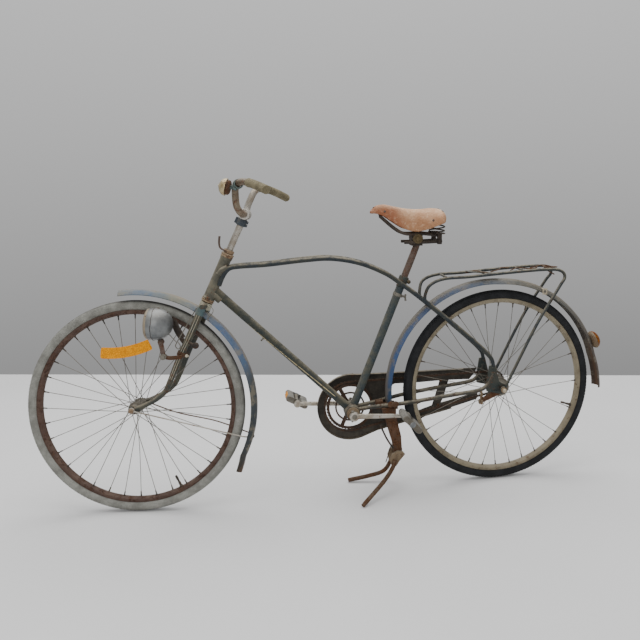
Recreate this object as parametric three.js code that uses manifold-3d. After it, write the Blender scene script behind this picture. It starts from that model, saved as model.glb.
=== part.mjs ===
// An old roadster bicycle, parked on its two-legged stand with the front end turned
// a little to the right. Millimetres, +X forward, +Y to the rider's left, +Z up.
import * as THREE from 'three';
import { mergeVertices } from 'three/addons/utils/BufferGeometryUtils.js';
import Module from 'manifold-3d';

const wasm = await Module();
wasm.setup();

// Driving dimensions
// Wheels
const wheelDiameter = 700;
const tyreWidth = 38;
const tyreHeight = 34;
const rimDepth = 17;
const rimWidth = 26;
const hubFlangeRadius = 20;
const flangeSpread = 54;
const spokeDiameter = 2.2;
const spokeCross = 60;
const spokeEntrySpread = 3;
const spokeCount = 36;
const wheelSegments = 48;
const axleDiameter = 9;
const frontHubWidth = 92;
const rearHubWidth = 104;

// Frame
const wheelbase = 1239;
const bracketDrop = 60;
const bracketReach = 533;
const headAngle = 65.5;
const forkOffset = 78;
const crownSeat = 4;
const headTubeLength = 148;
const headTubeDiameter = 36;
const downTubeDiameter = 27;
const seatTubeDiameter = 28;
const seatTubeLength = 503;
const seatTubeAngle = 68.1;
const stayDiameter = 16;
const twinSpread = 24;
const stayRearSpread = 57;
const shellDiameter = 52;
const shellWidth = 70;
const dropoutThickness = 6;

// Fork and steering
const steerAngle = -9.9;
const steererDiameter = 25.4;
const bladeTopDiameter = 26;
const bladeTipDiameter = 15;
const bladeTopSpread = 44;
const stemDiameter = 22;
const stemLength = 134;
const barDiameter = 22;
const gripDiameter = 28;
const barHalfWidth = 257;

// Drive
const crankLength = 183;
const crankAngle = 183;
const chainringRadius = 84;
const spiderRingRadius = 50;
const spiderArmWidth = 13;
const chainLine = 44.6;
const sprocketRadius = 34;
const chainHeight = 9;
const chainWidth = 7;
const guardPlane = 66.5;
const guardRadius = 120;
const guardWindowRadius = 82;
const guardThickness = 2;
const guardRim = 12;
const crankPlane = 81;
const leftCrankPlane = 68;
const pedalWidth = 84;
const pedalLength = 82;
const pedalPlate = 3;

// Guards, carrier, saddle and stand
const mudguardClearance = 40;
const mudguardWidth = 56;
const mudguardDepth = 16;
const sheetThickness = 1.6;
const carrierHalfWidth = 56;
const carrierTube = 11;
const saddleLength = 256;
const saddleWidth = 190;
const saddleForward = 16.6;
const saddleRise = 118;
const seatPostDiameter = 24;
const seatPostRise = 118;
const standPivotHeight = 120;
const standTube = 15;
const standBehindTyre = 20;
const stayWire = 4.4;
const bridgeDiameter = 12;

// Between touching pieces, and between the chain and the teeth it runs on
const gap = 0.3;
const chainSeat = 0.8;

// Derived places
const DEG = Math.PI / 180;
const V = (x, y, z) => new THREE.Vector3(x, y, z);
const wheelRadius = wheelDiameter / 2;
const mudguardRadius = wheelRadius + mudguardClearance;
const headTubeLow = mudguardRadius - crownSeat;
const rimOuter = wheelRadius - tyreHeight;
const rimInner = rimOuter - rimDepth + 4;
const rearAxle = V(0, 0, wheelRadius);
const frontAxle = V(wheelbase, 0, wheelRadius);
const bracket = V(bracketReach, 0, wheelRadius - bracketDrop);

const headDirection = V(-Math.cos(headAngle * DEG), 0, Math.sin(headAngle * DEG));
const headBase = V(wheelbase - forkOffset, 0, wheelRadius);
const onHead = (s, y = 0) => headBase.clone().addScaledVector(headDirection, s).setY(y);

const seatDirection = V(-Math.cos(seatTubeAngle * DEG), 0, Math.sin(seatTubeAngle * DEG));
const onSeat = (s, y = 0) => bracket.clone().addScaledVector(seatDirection, s).setY(y);

/** A point at steps forward and up from a place, at a sideways distance of its own. */
const from = (place, forward, y, up) => V(place.x + forward, y, place.z + up);

// Looks
const look = (color, roughness = 0.6, metalness = 0) =>
  new THREE.MeshStandardMaterial({ color, roughness, metalness });
const paint = look('#5c6763', 0.6, 0.2);
const bluePaint = look('#5b6c7c', 0.55, 0.2);
const rust = look('#7d4f30', 0.9, 0.3);
const darkRust = look('#40352c', 0.9, 0.3);
const chrome = look('#b5b3ad', 0.35, 0.9);
const dullSteel = look('#8a8578', 0.6, 0.7);
const blackRubber = look('#26262a', 0.85);
const greyRubber = look('#98958a', 0.9);
const grip = look('#7b7263', 0.85);
const leather = look('#c39a72', 0.7);
const creamRim = look('#a39a84', 0.6, 0.3);
const brownRim = look('#6d4c39', 0.85, 0.3);
const amber = look('#d98a12', 0.4);
const lampAmber = look('#a8682a', 0.5);
const brass = look('#a98646', 0.5, 0.8);

// Geometry helpers

/** A closed mesh as a solid that can be joined and cut. */
function solid(geometry) {
  const plain = geometry.clone();
  for (const name of Object.keys(plain.attributes)) {
    if (name !== 'position') plain.deleteAttribute(name);
  }
  const merged = mergeVertices(plain, 1e-4);
  return new wasm.Manifold(new wasm.Mesh({
    numProp: 3,
    vertProperties: new Float32Array(merged.attributes.position.array),
    triVerts: new Uint32Array(merged.index.array),
  }));
}

/** The solid's vertices and triangles as a geometry. */
function shape(manifold) {
  const mesh = manifold.getMesh();
  const out = new THREE.BufferGeometry();
  out.setAttribute('position', new THREE.BufferAttribute(mesh.vertProperties, 3));
  out.setIndex(new THREE.BufferAttribute(mesh.triVerts, 1));
  return out;
}

const join = (...parts) => shape(parts.map(solid).reduce((a, b) => a.add(b)));
const cut = (body, ...tools) =>
  shape(tools.map(solid).reduce((a, b) => a.subtract(b), solid(body)));

/** A closed solid through rings of points, each ring closed by a fan to its middle. */
function loft(rings) {
  const count = rings[0].length;
  const points = rings.flat();
  const index = [];
  for (let i = 0; i + 1 < rings.length; i++) {
    for (let j = 0; j < count; j++) {
      const k = (j + 1) % count;
      const a = i * count + j, b = i * count + k;
      const c = (i + 1) * count + j, d = (i + 1) * count + k;
      index.push(a, b, c, b, d, c);
    }
  }
  for (const [i, flip] of [[0, false], [rings.length - 1, true]]) {
    const middle = points.length;
    points.push(rings[i].reduce((s, p) => s.add(p), V(0, 0, 0)).divideScalar(count));
    for (let j = 0; j < count; j++) {
      const a = i * count + j, b = i * count + (j + 1) % count;
      index.push(middle, ...(flip ? [a, b] : [b, a]));
    }
  }
  return outward(points, index);
}

/** A geometry from points and triangles, turned so that its faces point out. */
function outward(points, index) {
  let volume = 0;
  const cross = V(0, 0, 0);
  for (let i = 0; i < index.length; i += 3) {
    const [a, b, c] = [0, 1, 2].map((k) => points[index[i + k]]);
    volume += a.dot(cross.crossVectors(b, c));
  }
  if (volume < 0) {
    for (let i = 0; i < index.length; i += 3) {
      [index[i + 1], index[i + 2]] = [index[i + 2], index[i + 1]];
    }
  }
  const out = new THREE.BufferGeometry().setFromPoints(points);
  out.setIndex(index);
  return out;
}

/** A round tube along points; radius is a number or a function of 0..1 along it. */
function tube(points, radius, { sides = 10, steps = 0, tension = 0.5 } = {}) {
  const curve = points.length > 2
    ? new THREE.CatmullRomCurve3(points, false, 'catmullrom', tension)
    : new THREE.LineCurve3(points[0], points[1]);
  const count = steps || (points.length > 2 ? (points.length - 1) * 3 : 1);
  const frames = curve.computeFrenetFrames(count, false);
  const rings = [];
  for (let i = 0; i <= count; i++) {
    const t = i / count;
    const centre = curve.getPointAt(t);
    const r = typeof radius === 'function' ? radius(t) : radius;
    rings.push(Array.from({ length: sides }, (_, j) => {
      const a = (j / sides) * 2 * Math.PI;
      return centre.clone()
        .addScaledVector(frames.normals[i], r * Math.cos(a))
        .addScaledVector(frames.binormals[i], r * Math.sin(a));
    }));
  }
  return loft(rings);
}

/** A box given by its middle and size, turned about Y by an angle in degrees. */
function box(middle, size, turnY = 0) {
  const out = new THREE.BoxGeometry(size.x, size.y, size.z);
  out.rotateY(turnY * DEG);
  return out.translate(middle.x, middle.y, middle.z);
}

/** A round disc or pin between two points. */
const pin = (from, to, radius, sides = 14) => tube([from, to], radius, { sides });

/** A ring about an axis between two points. */
const ring = (from, to, outer, inner, sides = 18) => {
  const along = to.clone().sub(from).normalize();
  return cut(pin(from, to, outer, sides),
    pin(from.clone().addScaledVector(along, -1), to.clone().addScaledVector(along, 1),
      inner, sides));
};

/** A solid turned about the wheel's own axis from [radius, sideways] pairs. */
function turned(profile, segments, middle) {
  const out = new THREE.LatheGeometry(
    [...profile, profile[0]].map(([r, y]) => new THREE.Vector2(r, y)), segments);
  const merged = mergeVertices(out.deleteAttribute('normal').deleteAttribute('uv'), 1e-4);
  const points = [];
  for (let i = 0; i < merged.attributes.position.count; i++) {
    points.push(new THREE.Vector3().fromBufferAttribute(merged.attributes.position, i)
      .add(middle));
  }
  return outward(points, Array.from(merged.index.array));
}

/** A flat plate in the bicycle's side plane, from an outline and holes in X and Z. */
function plate(outline, holes, yFrom, yTo) {
  const loop = (pairs, clockwise) => {
    const points = pairs.map(([x, z]) => new THREE.Vector2(x, -z));
    return THREE.ShapeUtils.isClockWise(points) === clockwise ? points : points.reverse();
  };
  const flat = new THREE.Shape(loop(outline, false));
  for (const hole of holes) flat.holes.push(new THREE.Path(loop(hole, true)));
  const out = new THREE.ExtrudeGeometry(flat, { depth: yTo - yFrom, bevelEnabled: false });
  out.rotateX(-Math.PI / 2);
  return out.translate(0, yFrom, 0);
}

const circle = (x, z, r, from = 0, to = 360, count = 24) =>
  Array.from({ length: count + 1 }, (_, i) => {
    const a = (from + ((to - from) * i) / count) * DEG;
    return [x + r * Math.cos(a), z + r * Math.sin(a)];
  });

/** A thin sheet between a grid of outer points and the same grid moved inward. */
function sheet(outer, inner) {
  const rows = outer.length, cols = outer[0].length, n = rows * cols;
  const points = [...outer.flat(), ...inner.flat()];
  const at = (i, j) => i * cols + j;
  const index = [];
  const quad = (a, b, c, d) => index.push(a, b, c, a, c, d);
  for (let i = 0; i + 1 < rows; i++) {
    for (let j = 0; j + 1 < cols; j++) {
      quad(at(i, j), at(i + 1, j), at(i + 1, j + 1), at(i, j + 1));
      quad(n + at(i, j), n + at(i, j + 1), n + at(i + 1, j + 1), n + at(i + 1, j));
    }
  }
  for (let i = 0; i + 1 < rows; i++) {
    quad(at(i, 0), n + at(i, 0), n + at(i + 1, 0), at(i + 1, 0));
    quad(at(i, cols - 1), at(i + 1, cols - 1), n + at(i + 1, cols - 1), n + at(i, cols - 1));
  }
  for (let j = 0; j + 1 < cols; j++) {
    quad(at(0, j), at(0, j + 1), n + at(0, j + 1), n + at(0, j));
    quad(at(rows - 1, j), n + at(rows - 1, j), n + at(rows - 1, j + 1), at(rows - 1, j + 1));
  }
  return outward(points, index);
}

/** A strip of even width inside an open path in the bicycle's side plane. */
function strip(path, width) {
  const inner = path.map(([x, z], i) => {
    const [ax, az] = path[Math.max(0, i - 1)];
    const [bx, bz] = path[Math.min(path.length - 1, i + 1)];
    const length = Math.hypot(bx - ax, bz - az);
    return [x + ((bz - az) * width) / length, z - ((bx - ax) * width) / length];
  });
  return [...path, ...inner.reverse()];
}

/** Places a piece on both sides: side is +1 for left and -1 for right. */
const flipY = (points, side) => points.map((p) => V(p.x, p.y * side, p.z));

// Bodies
const bicycle = new THREE.Group();
const frame = new THREE.Group();
const steering = new THREE.Group();
bicycle.add(frame, steering);

function add(group, name, geometry, material) {
  const mesh = new THREE.Mesh(geometry, material);
  mesh.name = name;
  group.add(mesh);
  return mesh;
}

// Wheels

// Spokes stop short of the flat between two corners of the rim's inner face
const spokeReach = rimInner * Math.cos(Math.PI / wheelSegments) - gap - spokeDiameter * 0.07;

/** How far out a spoke lies sideways where it passes a given radius. */
const spokeSide = (radius, flangeRadius) => {
  const start = flangeSpread / 2 + 1.5, inner = flangeRadius - 4;
  return start + ((spokeEntrySpread - start) * (radius - inner)) / (spokeReach - inner);
};

/** A tyre, its rim, and the hub with its spokes, about an axle. */
function wheel(group, prefix, axle, hub, rimLook, tyreLook, missing) {
  const half = tyreWidth / 2;
  const middle = wheelRadius - tyreHeight / 2;
  const section = Array.from({ length: 8 }, (_, i) => {
    const a = (i / 8) * 2 * Math.PI;
    return [middle + (tyreHeight / 2) * Math.cos(a), half * Math.sin(a)];
  });
  add(group, `${prefix}_tyre`, turned(section, wheelSegments, axle), tyreLook);

  const bed = rimOuter - gap;
  const edge = rimWidth / 2;
  const rimProfile = [
    [bed, -edge], [bed, edge], [bed - rimDepth * 0.4, edge], [rimInner, edge * 0.3],
    [rimInner, -edge * 0.3], [bed - rimDepth * 0.4, -edge],
  ];
  add(group, `${prefix}_rim`, turned(rimProfile, wheelSegments, axle), rimLook);

  const flange = flangeSpread / 2;
  const parts = [pin(V(axle.x, -hub.body, axle.z), V(axle.x, hub.body, axle.z), hub.radius, 16)];
  for (const side of [-1, 1]) {
    parts.push(pin(V(axle.x, side * (flange - 2), axle.z), V(axle.x, side * (flange + 2), axle.z),
      hub.flange, 18));
    parts.push(...hub.extras(side));
  }
  const spokeEnd = spokeReach;
  const perSide = spokeCount / 2;
  const pitch = 360 / perSide;
  for (const side of [-1, 1]) {
    for (let k = 0; k < perSide; k++) {
      const rimAngle = k * pitch + (side > 0 ? 0 : pitch / 2);
      if (missing(rimAngle, side)) continue;
      const lead = k % 2 ? 1 : -1;
      const hubAngle = rimAngle + lead * spokeCross;
      const at = (angle, r, y) => V(axle.x + r * Math.cos(angle * DEG), y,
        axle.z + r * Math.sin(angle * DEG));
      parts.push(tube([
        at(hubAngle, hub.flange - 4, side * (flange + lead * 1.5)),
        at(rimAngle, spokeEnd, side * spokeEntrySpread),
      ], spokeDiameter / 2, { sides: 4 }));
    }
  }
  let body = join(...parts);
  body = cut(body, pin(V(axle.x, -120, axle.z), V(axle.x, 120, axle.z),
    axleDiameter / 2 + gap, 16));
  add(group, `${prefix}_hub_and_spokes`, body, dullSteel);
}

const frontWheel = new THREE.Group();
steering.add(frontWheel);
wheel(frontWheel, 'front_wheel', frontAxle, {
  body: frontHubWidth / 2 - 2, radius: 14, flange: hubFlangeRadius, extras: () => [],
}, brownRim, greyRubber, () => false);

const rearWheel = new THREE.Group();
bicycle.add(rearWheel);
const sprocket = pin(V(0, -chainLine - 1.5, wheelRadius), V(0, -chainLine + 1.5, wheelRadius),
  sprocketRadius, 24);
wheel(rearWheel, 'rear_wheel', rearAxle, {
  body: rearHubWidth / 2 - 4, radius: 24, flange: 34, extras: () => [sprocket],
}, creamRim, blackRubber, (angle, side) => side < 0 && angle > 165 && angle < 215);

// The amber reflector arc that is clipped across the front wheel's spokes
{
  const arc = (r, from, to) => circle(0, 0, r, from, to, 12);
  const low = 282, high = 318, start = 83.7, end = 114.6;
  const ahead = 74, above = wheelRadius + 129;
  const outline = [...arc(high, start, end), ...arc(low, start, end).reverse()];
  const place = outline.map(([x, z]) => [frontAxle.x + ahead + x, frontAxle.z + above - z]);
  const seat = above - low - 12;
  const inner = spokeSide(seat, hubFlangeRadius) + spokeDiameter / 2 + gap;
  add(frontWheel, 'spoke_reflector', plate(place, [], inner, inner + 4), amber);
}

// Frame tubes
const headTop = headTubeLow + headTubeLength;
const headRadius = headTubeDiameter / 2;
const stayRadius = stayDiameter / 2;
const shellRadius = shellDiameter / 2;
const bore = steererDiameter / 2 + gap;

const headTube = ring(onHead(headTubeLow), onHead(headTop), headRadius, bore + 2.5, 18);
add(frame, 'head_tube', headTube, paint);
const headTool = pin(onHead(headTubeLow - 30), onHead(headTop + 20), headRadius + gap * 2, 18);

const shellTool = pin(V(bracket.x, -shellWidth / 2 - 1, bracket.z),
  V(bracket.x, shellWidth / 2 + 1, bracket.z), shellRadius + gap, 20);
const crankAxleRadius = 9;
add(frame, 'bottom_bracket_shell', ring(V(bracket.x, -shellWidth / 2, bracket.z),
  V(bracket.x, shellWidth / 2, bracket.z), shellRadius, crankAxleRadius + gap, 20), paint);

const downTop = onHead(headTubeLow + 36);
const downTube = cut(pin(bracket, downTop, downTubeDiameter / 2, 14), headTool, shellTool);
add(frame, 'down_tube', downTube, paint);
const downTool = pin(bracket, downTop, downTubeDiameter / 2 + gap, 14);

const seatTop = onSeat(seatTubeLength);
const postRadius = seatPostDiameter / 2;
const seatRadius = seatTubeDiameter / 2;
const seatTube = cut(
  join(pin(bracket, seatTop, seatRadius, 14),
    pin(onSeat(seatTubeLength - 26), seatTop, seatRadius + 3, 14),
    tube([onSeat(seatTubeLength - 12, -15).add(V(-17, 0, -7)),
      onSeat(seatTubeLength - 12, 15).add(V(-17, 0, -7))], 7, { sides: 12 })),
  shellTool, downTool, pin(onSeat(seatTubeLength - 80), onSeat(seatTubeLength + 40),
    postRadius + gap, 14));
add(frame, 'seat_tube', seatTube, paint);
const seatTool = pin(bracket, onSeat(seatTubeLength + 5), seatRadius + 3 + gap, 14);

// Dropout plates sit in slots in the stays' ends
const dropout = [
  [-14, wheelRadius - 10], [-9, wheelRadius - 16], [10, wheelRadius - 16],
  [60, wheelRadius - 4], [62, wheelRadius + 16], [52, wheelRadius + 88],
  [30, wheelRadius + 92], [14, wheelRadius + 30], [-12, wheelRadius + 14],
];
const dropoutHalf = dropoutThickness / 2;
const dropoutTool = (side) => plate(
  dropout.map(([x, z]) => [24 + (x - 24) * 1.06, wheelRadius + 40 + (z - wheelRadius - 40) * 1.03]),
  [], side * stayRearSpread - dropoutHalf - gap, side * stayRearSpread + dropoutHalf + gap);
for (const [side, name] of [[1, 'left'], [-1, 'right']]) {
  const y = side * stayRearSpread - dropoutHalf;
  add(frame, `dropout_${name}`, plate(dropout,
    [circle(0, wheelRadius, axleDiameter / 2 + gap, 0, 345, 15)], y, y + dropoutThickness), paint);
}

// The twin top tubes run on past the seat tube as the seat stays
const headTopPoint = onHead(headTop);
const topSpan = (share, y, up) => from(headTopPoint.clone().lerp(seatTop, share), 0, y, up);
const twinPath = [
  from(headTopPoint, 26.5, 15, -91), from(headTopPoint, 12.5, 15, -59),
  from(headTopPoint, -5.5, 16, -37), from(headTopPoint, -34.5, 17, -30),
  from(headTopPoint, -129.5, 19, -25), topSpan(0.42, 21, 20), topSpan(0.5714, 22, 35.5),
  from(seatTop, 158.5, 23, 52), from(seatTop, 70.5, twinSpread, 15),
  from(seatTop, 13.5, twinSpread, -24), from(seatTop, -48.5, twinSpread + 8, -70),
  from(rearAxle, 200, twinSpread + 21, 257), from(rearAxle, 100, stayRearSpread - 3, 171),
  from(rearAxle, 47, stayRearSpread, 118), from(rearAxle, 35, stayRearSpread, 84),
];
const twinTube = (side, clearance = 0) =>
  tube(flipY(twinPath, side), stayRadius + clearance, { steps: 26, sides: 8 });

// Chain stays bend up behind the wheel's side to meet the seat stays
const chainStayPath = [
  from(bracket, -10, 18, 7), from(bracket, -78, 25, 16), from(bracket, -143, 40, 24),
  from(bracket, -203, 50, 32), from(rearAxle, 200, stayRearSpread - 2, -12),
  from(rearAxle, 95, stayRearSpread, 0), from(rearAxle, 62, stayRearSpread, 14),
  from(rearAxle, 45, stayRearSpread, 40), from(rearAxle, 38, stayRearSpread, 62),
];
const chainStay = (side, clearance = 0) =>
  tube(flipY(chainStayPath, side), stayRadius - 1 + clearance, { steps: 16, sides: 8 });

for (const [side, name] of [[1, 'left'], [-1, 'right']]) {
  add(frame, `twin_tube_${name}`,
    cut(twinTube(side), headTool, seatTool, dropoutTool(side)), paint);
  add(frame, `chain_stay_${name}`,
    cut(chainStay(side), shellTool, seatTool, downTool, dropoutTool(side)), paint);
}

// Axle nuts hold the dropouts between them, then the carrier's eyes outside
const eyeFrom = stayRearSpread + 9.3, eyeTo = eyeFrom + 4;
const axleEnd = eyeTo + 9;
const nut = (x, z, side, from, to) => pin(V(x, side * from, z), V(x, side * to, z), 9, 6);
add(frame, 'rear_axle', join(
  pin(V(0, -axleEnd, wheelRadius), V(0, axleEnd, wheelRadius), axleDiameter / 2, 16),
  nut(0, wheelRadius, 1, stayRearSpread + dropoutHalf + gap, stayRearSpread + 9),
  nut(0, wheelRadius, -1, stayRearSpread + dropoutHalf + gap, stayRearSpread + 9),
  nut(0, wheelRadius, 1, eyeTo + gap, eyeTo + 6),
  nut(0, wheelRadius, -1, eyeTo + gap, eyeTo + 6),
), chrome);

// Headset cups on the frame, with the steerer's bore
add(frame, 'headset_lower', ring(onHead(headTubeLow - 10), onHead(headTubeLow - gap),
  headRadius + 3, bore, 18), rust);
add(frame, 'headset_upper', ring(onHead(headTop + gap), onHead(headTop + 14),
  headRadius + 2, bore, 18), rust);

// Coaster brake arm and its clip on the left chain stay
const armPlane = stayRearSpread - dropoutHalf - 1;
add(frame, 'brake_arm', plate([...circle(0, wheelRadius, 15, 20, 250, 12),
  [76, wheelRadius - 48], [86, wheelRadius - 46], [86, wheelRadius - 36]],
[circle(0, wheelRadius, axleDiameter / 2 + gap, 0, 345, 15)], armPlane - 4, armPlane), rust);

// Seat post and saddle
const postTop = onSeat(seatTubeLength + seatPostRise);
add(frame, 'seat_post', pin(onSeat(seatTubeLength - 75), postTop, postRadius, 14), darkRust);

// The saddle's own frame of reference: its nose, its tail and the post's top
const saddleNose = postTop.x + saddleForward + saddleLength * 0.57;
const saddleTail = saddleNose - saddleLength;
const saddleCrown = postTop.z + saddleRise;

/** The leather's surface, moved in by an inset, as rows of points from nose to tail. */
function leatherGrid(inset) {
  // Share of the length, share of the half width, crown above the nose, fall of the skirt
  const stations = [
    [0.0, 0.10, 0, 6], [0.06, 0.17, 14, 20], [0.16, 0.21, 20, 34], [0.3, 0.26, 15, 52],
    [0.45, 0.38, 9, 68], [0.58, 0.58, 6, 72], [0.72, 0.82, 5, 62], [0.86, 0.98, 6, 48],
    [0.955, 0.8, 0, 34], [1.0, 0.42, -12, 14],
  ];
  const columns = 11;
  return stations.map(([along, width, crown, drop]) => {
    const end = along === 0 ? -inset : along === 1 ? inset : 0;
    return Array.from({ length: columns }, (_, j) => {
      const s = (j / (columns - 1)) * 2 - 1;
      const bend = Math.sign(s) * Math.sin(Math.abs(s) * Math.PI * 0.5);
      return V(saddleNose - saddleLength * along + end, bend * ((saddleWidth / 2) * width - inset),
        saddleCrown + crown - inset - Math.pow(Math.abs(s), 2.6) * drop);
    });
  });
}
const leatherThickness = 3.5;
const leatherTool = sheet(leatherGrid(-8), leatherGrid(leatherThickness + gap));
add(frame, 'saddle_leather', sheet(leatherGrid(0), leatherGrid(leatherThickness)), leather);

// Saddle ironwork: clamp, upper and lower rails on both sides, nose strut, spring seats
const springX = saddleTail + 24, springY = 44, springRadius = 15, springWire = 4.8;
const railHigh = postTop.z + 39, railLow = postTop.z + 10;
const springSeatTop = railHigh + 4, cantleUnder = railHigh + 57;
const nosePin = V(saddleNose - 36, 0, postTop.z + 96);
{
  const clamp = from(postTop, 4, 0, 23);
  const irons = [
    pin(clamp.clone().setY(-38), clamp.clone().setY(38), 17, 12),
    box(from(clamp, 0, 0, -6), V(44, 44, 40)),
    pin(nosePin.clone().setY(-12), nosePin.clone().setY(12), 5, 8),
    pin(nosePin, from(nosePin, 12, 0, 38), 6, 8),
    pin(V(springX, -46, railLow + 4), V(springX, 46, railLow + 4), 6, 10),
  ];
  for (const side of [-1, 1]) {
    irons.push(tube([nosePin.clone().setY(side * 8), from(postTop, 78.5, side * 18, 56),
      V(postTop.x + 43.5, side * 27, railHigh), V(postTop.x - 11.5, side * 30, railHigh),
      V(springX, side * 36, railHigh - 6)], 5, { sides: 6, steps: 8 }));
    irons.push(tube([V(postTop.x + 50.5, side * 27, railLow), V(postTop.x - 11.5, side * 32, railLow),
      V(springX, side * 36, railLow + 2)], 5, { sides: 6, steps: 4 }));
    irons.push(box(V(springX, side * 40, (railHigh + railLow) / 2 - 1.5),
      V(16, 16, railHigh - railLow + 11)));
    irons.push(pin(V(springX, side * springY, springSeatTop - 4),
      V(springX, side * springY, springSeatTop), springRadius + 4, 14));
  }
  const postTool = pin(onSeat(seatTubeLength + 30),
    postTop.clone().addScaledVector(seatDirection, gap), postRadius + gap, 14);
  add(frame, 'saddle_irons', cut(join(...irons), postTool, leatherTool), darkRust);
}

// The plate that the leather's rear is riveted to, on the two springs
{
  const parts = [box(V(springX - 2, 0, cantleUnder + 1.5), V(22, 116, 3))];
  for (const y of [-40, 0, 40]) {
    parts.push(pin(V(springX, y, cantleUnder + 1),
      V(springX, y, saddleCrown + 2 - Math.abs(y) * 0.06), 5, 10));
  }
  add(frame, 'saddle_cantle', cut(join(...parts), leatherTool), darkRust);
}

for (const [side, name] of [[1, 'left'], [-1, 'right']]) {
  const turns = 3.2, wire = springWire / 2;
  const low = springSeatTop + gap + wire, high = cantleUnder - gap - wire;
  const coil = Array.from({ length: 27 }, (_, i) => {
    const t = i / 26, a = t * turns * 2 * Math.PI;
    return V(springX + springRadius * Math.cos(a), side * (springY + springRadius * Math.sin(a)),
      low + (high - low) * t);
  });
  add(frame, `saddle_spring_${name}`, tube(coil, wire, { steps: 32, sides: 5 }), darkRust);
}

// Rear mudguard and lamp

/** A mudguard's surface, moved in by an inset, as rows of points along the wheel. */
function guardGrid({ middle, start, end, steps, radiusAt }, inset) {
  const columns = 5;
  return Array.from({ length: steps + 1 }, (_, i) => {
    const t = i / steps;
    const a = (start + (end - start) * t) * DEG;
    return Array.from({ length: columns }, (_, j) => {
      const s = (j / (columns - 1)) * 2 - 1;
      const r = radiusAt(t) - inset - mudguardDepth * Math.pow(Math.abs(s), 2.4);
      return V(middle.x + r * Math.cos(a), s * (mudguardWidth / 2 - inset),
        middle.z + r * Math.sin(a));
    });
  });
}
const guardSheet = (guard) => sheet(guardGrid(guard, 0), guardGrid(guard, sheetThickness));

/** What cuts a neighbour back to the guard: above its outer or below its inner face. */
const guardTool = (guard, above, below) =>
  sheet(guardGrid(guard, -above), guardGrid(guard, sheetThickness + below));

const flare = (t, start, end) =>
  mudguardRadius + start * Math.max(0, 1 - t / 0.1) + end * Math.max(0, (t - 0.9) / 0.1);
// The guard stands further off the tyre towards its front end
const bridgeAt = 49.4, bridgeAngle = bridgeAt * DEG;
const rearGuard = {
  middle: rearAxle, start: -5, end: 184, steps: 24,
  radiusAt: (t) => flare(t, 0, 14) + 24 * Math.max(0, 1 - (t / 0.5) ** 2),
};
add(frame, 'rear_mudguard', guardSheet(rearGuard), bluePaint);

// The bridge between the seat stays that carries the rear mudguard
{
  const along = (bridgeAt - rearGuard.start) / (rearGuard.end - rearGuard.start);
  const reach = rearGuard.radiusAt(along) + bridgeDiameter / 2;
  const middle = from(rearAxle, reach * Math.cos(bridgeAngle), 0, reach * Math.sin(bridgeAngle));
  const half = twinSpread + 12;
  add(frame, 'seat_stay_bridge', cut(pin(middle.clone().setY(-half), middle.clone().setY(half),
    bridgeDiameter / 2, 12), twinTube(1, gap), twinTube(-1, gap),
  guardTool(rearGuard, gap, 6)), paint);
}

const lampAngle = 158 * DEG;
const lampAt = (r) => from(rearAxle, r * Math.cos(lampAngle), 0, r * Math.sin(lampAngle));
add(frame, 'tail_lamp', cut(join(
  tube([lampAt(mudguardRadius - 3), lampAt(mudguardRadius + 12)], 21, { sides: 16 }),
  tube([lampAt(mudguardRadius + 11), lampAt(mudguardRadius + 30)],
    (t) => 33 * Math.sqrt(1 - 0.72 * t * t), { sides: 18, steps: 6 }),
), guardTool(rearGuard, gap, 20)), lampAmber);

// Carrier
const carrierRadius = carrierTube / 2;
{
  const side = carrierHalfWidth;
  const rail = [
    from(seatTop, -64.5, 36, -84.5), from(seatTop, -64.5, 44, -56.5),
    from(seatTop, -79.5, side, -23.5), from(seatTop, -128.5, side, -4.5),
    from(rearAxle, 125, side, 407), from(rearAxle, -20, side, 418),
    from(rearAxle, -150, side, 425), from(rearAxle, -207, side, 420),
    from(rearAxle, -223, side + 4, 397), from(rearAxle, -200, side + 10, 362),
    from(rearAxle, -120, side + 14, 236), from(rearAxle, -18, eyeTo + 1, 36),
    from(rearAxle, -8, (eyeFrom + eyeTo) / 2, 10),
  ];
  const parts = [];
  for (const hand of [-1, 1]) {
    parts.push(tube(flipY(rail, hand), (t) => (t > 0.98 ? 1.9 : carrierRadius),
      { steps: 24, sides: 6 }));
    parts.push(pin(V(0, hand * eyeFrom, wheelRadius), V(0, hand * eyeTo, wheelRadius), 13, 16));
  }
  const bars = [
    from(seatTop, -140.5, 0, -2.5), from(rearAxle, 60, 0, 411), from(rearAxle, -80, 0, 421),
    from(rearAxle, -190, 0, 423),
  ];
  for (const bar of bars) {
    parts.push(pin(bar.clone().setY(-side), bar.clone().setY(side), 4, 6));
  }
  parts.push(box(from(bars[1], 0, 0, 2), V(120, 34, 3), 5));
  const axleBore = pin(V(0, -axleEnd - 5, wheelRadius), V(0, axleEnd + 5, wheelRadius),
    axleDiameter / 2 + gap, 16);
  add(frame, 'carrier', cut(join(...parts), axleBore, twinTube(1, gap), twinTube(-1, gap)),
    bluePaint);
}

// Chain and its guard
const ringPlane = -chainLine;
{
  const inner = chainringRadius + chainSeat, outer = inner + chainHeight;
  const rearInner = sprocketRadius + chainSeat, rearOuter = rearInner + chainHeight;
  const loop = (front, rear) => {
    const dx = bracket.x, dz = bracket.z - rearAxle.z, reach = Math.hypot(dx, dz);
    const lean = Math.atan2(dz, dx) / DEG;
    const open = Math.acos((rear - front) / reach) / DEG;
    return [...circle(bracket.x, bracket.z, front, lean - open, lean + open, 26),
      ...circle(0, rearAxle.z, rear, lean + open, lean + 360 - open, 14)];
  };
  add(frame, 'chain', plate(loop(outer, rearOuter), [loop(inner, rearInner)],
    ringPlane - chainWidth / 2, ringPlane + chainWidth / 2), darkRust);
}
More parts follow.
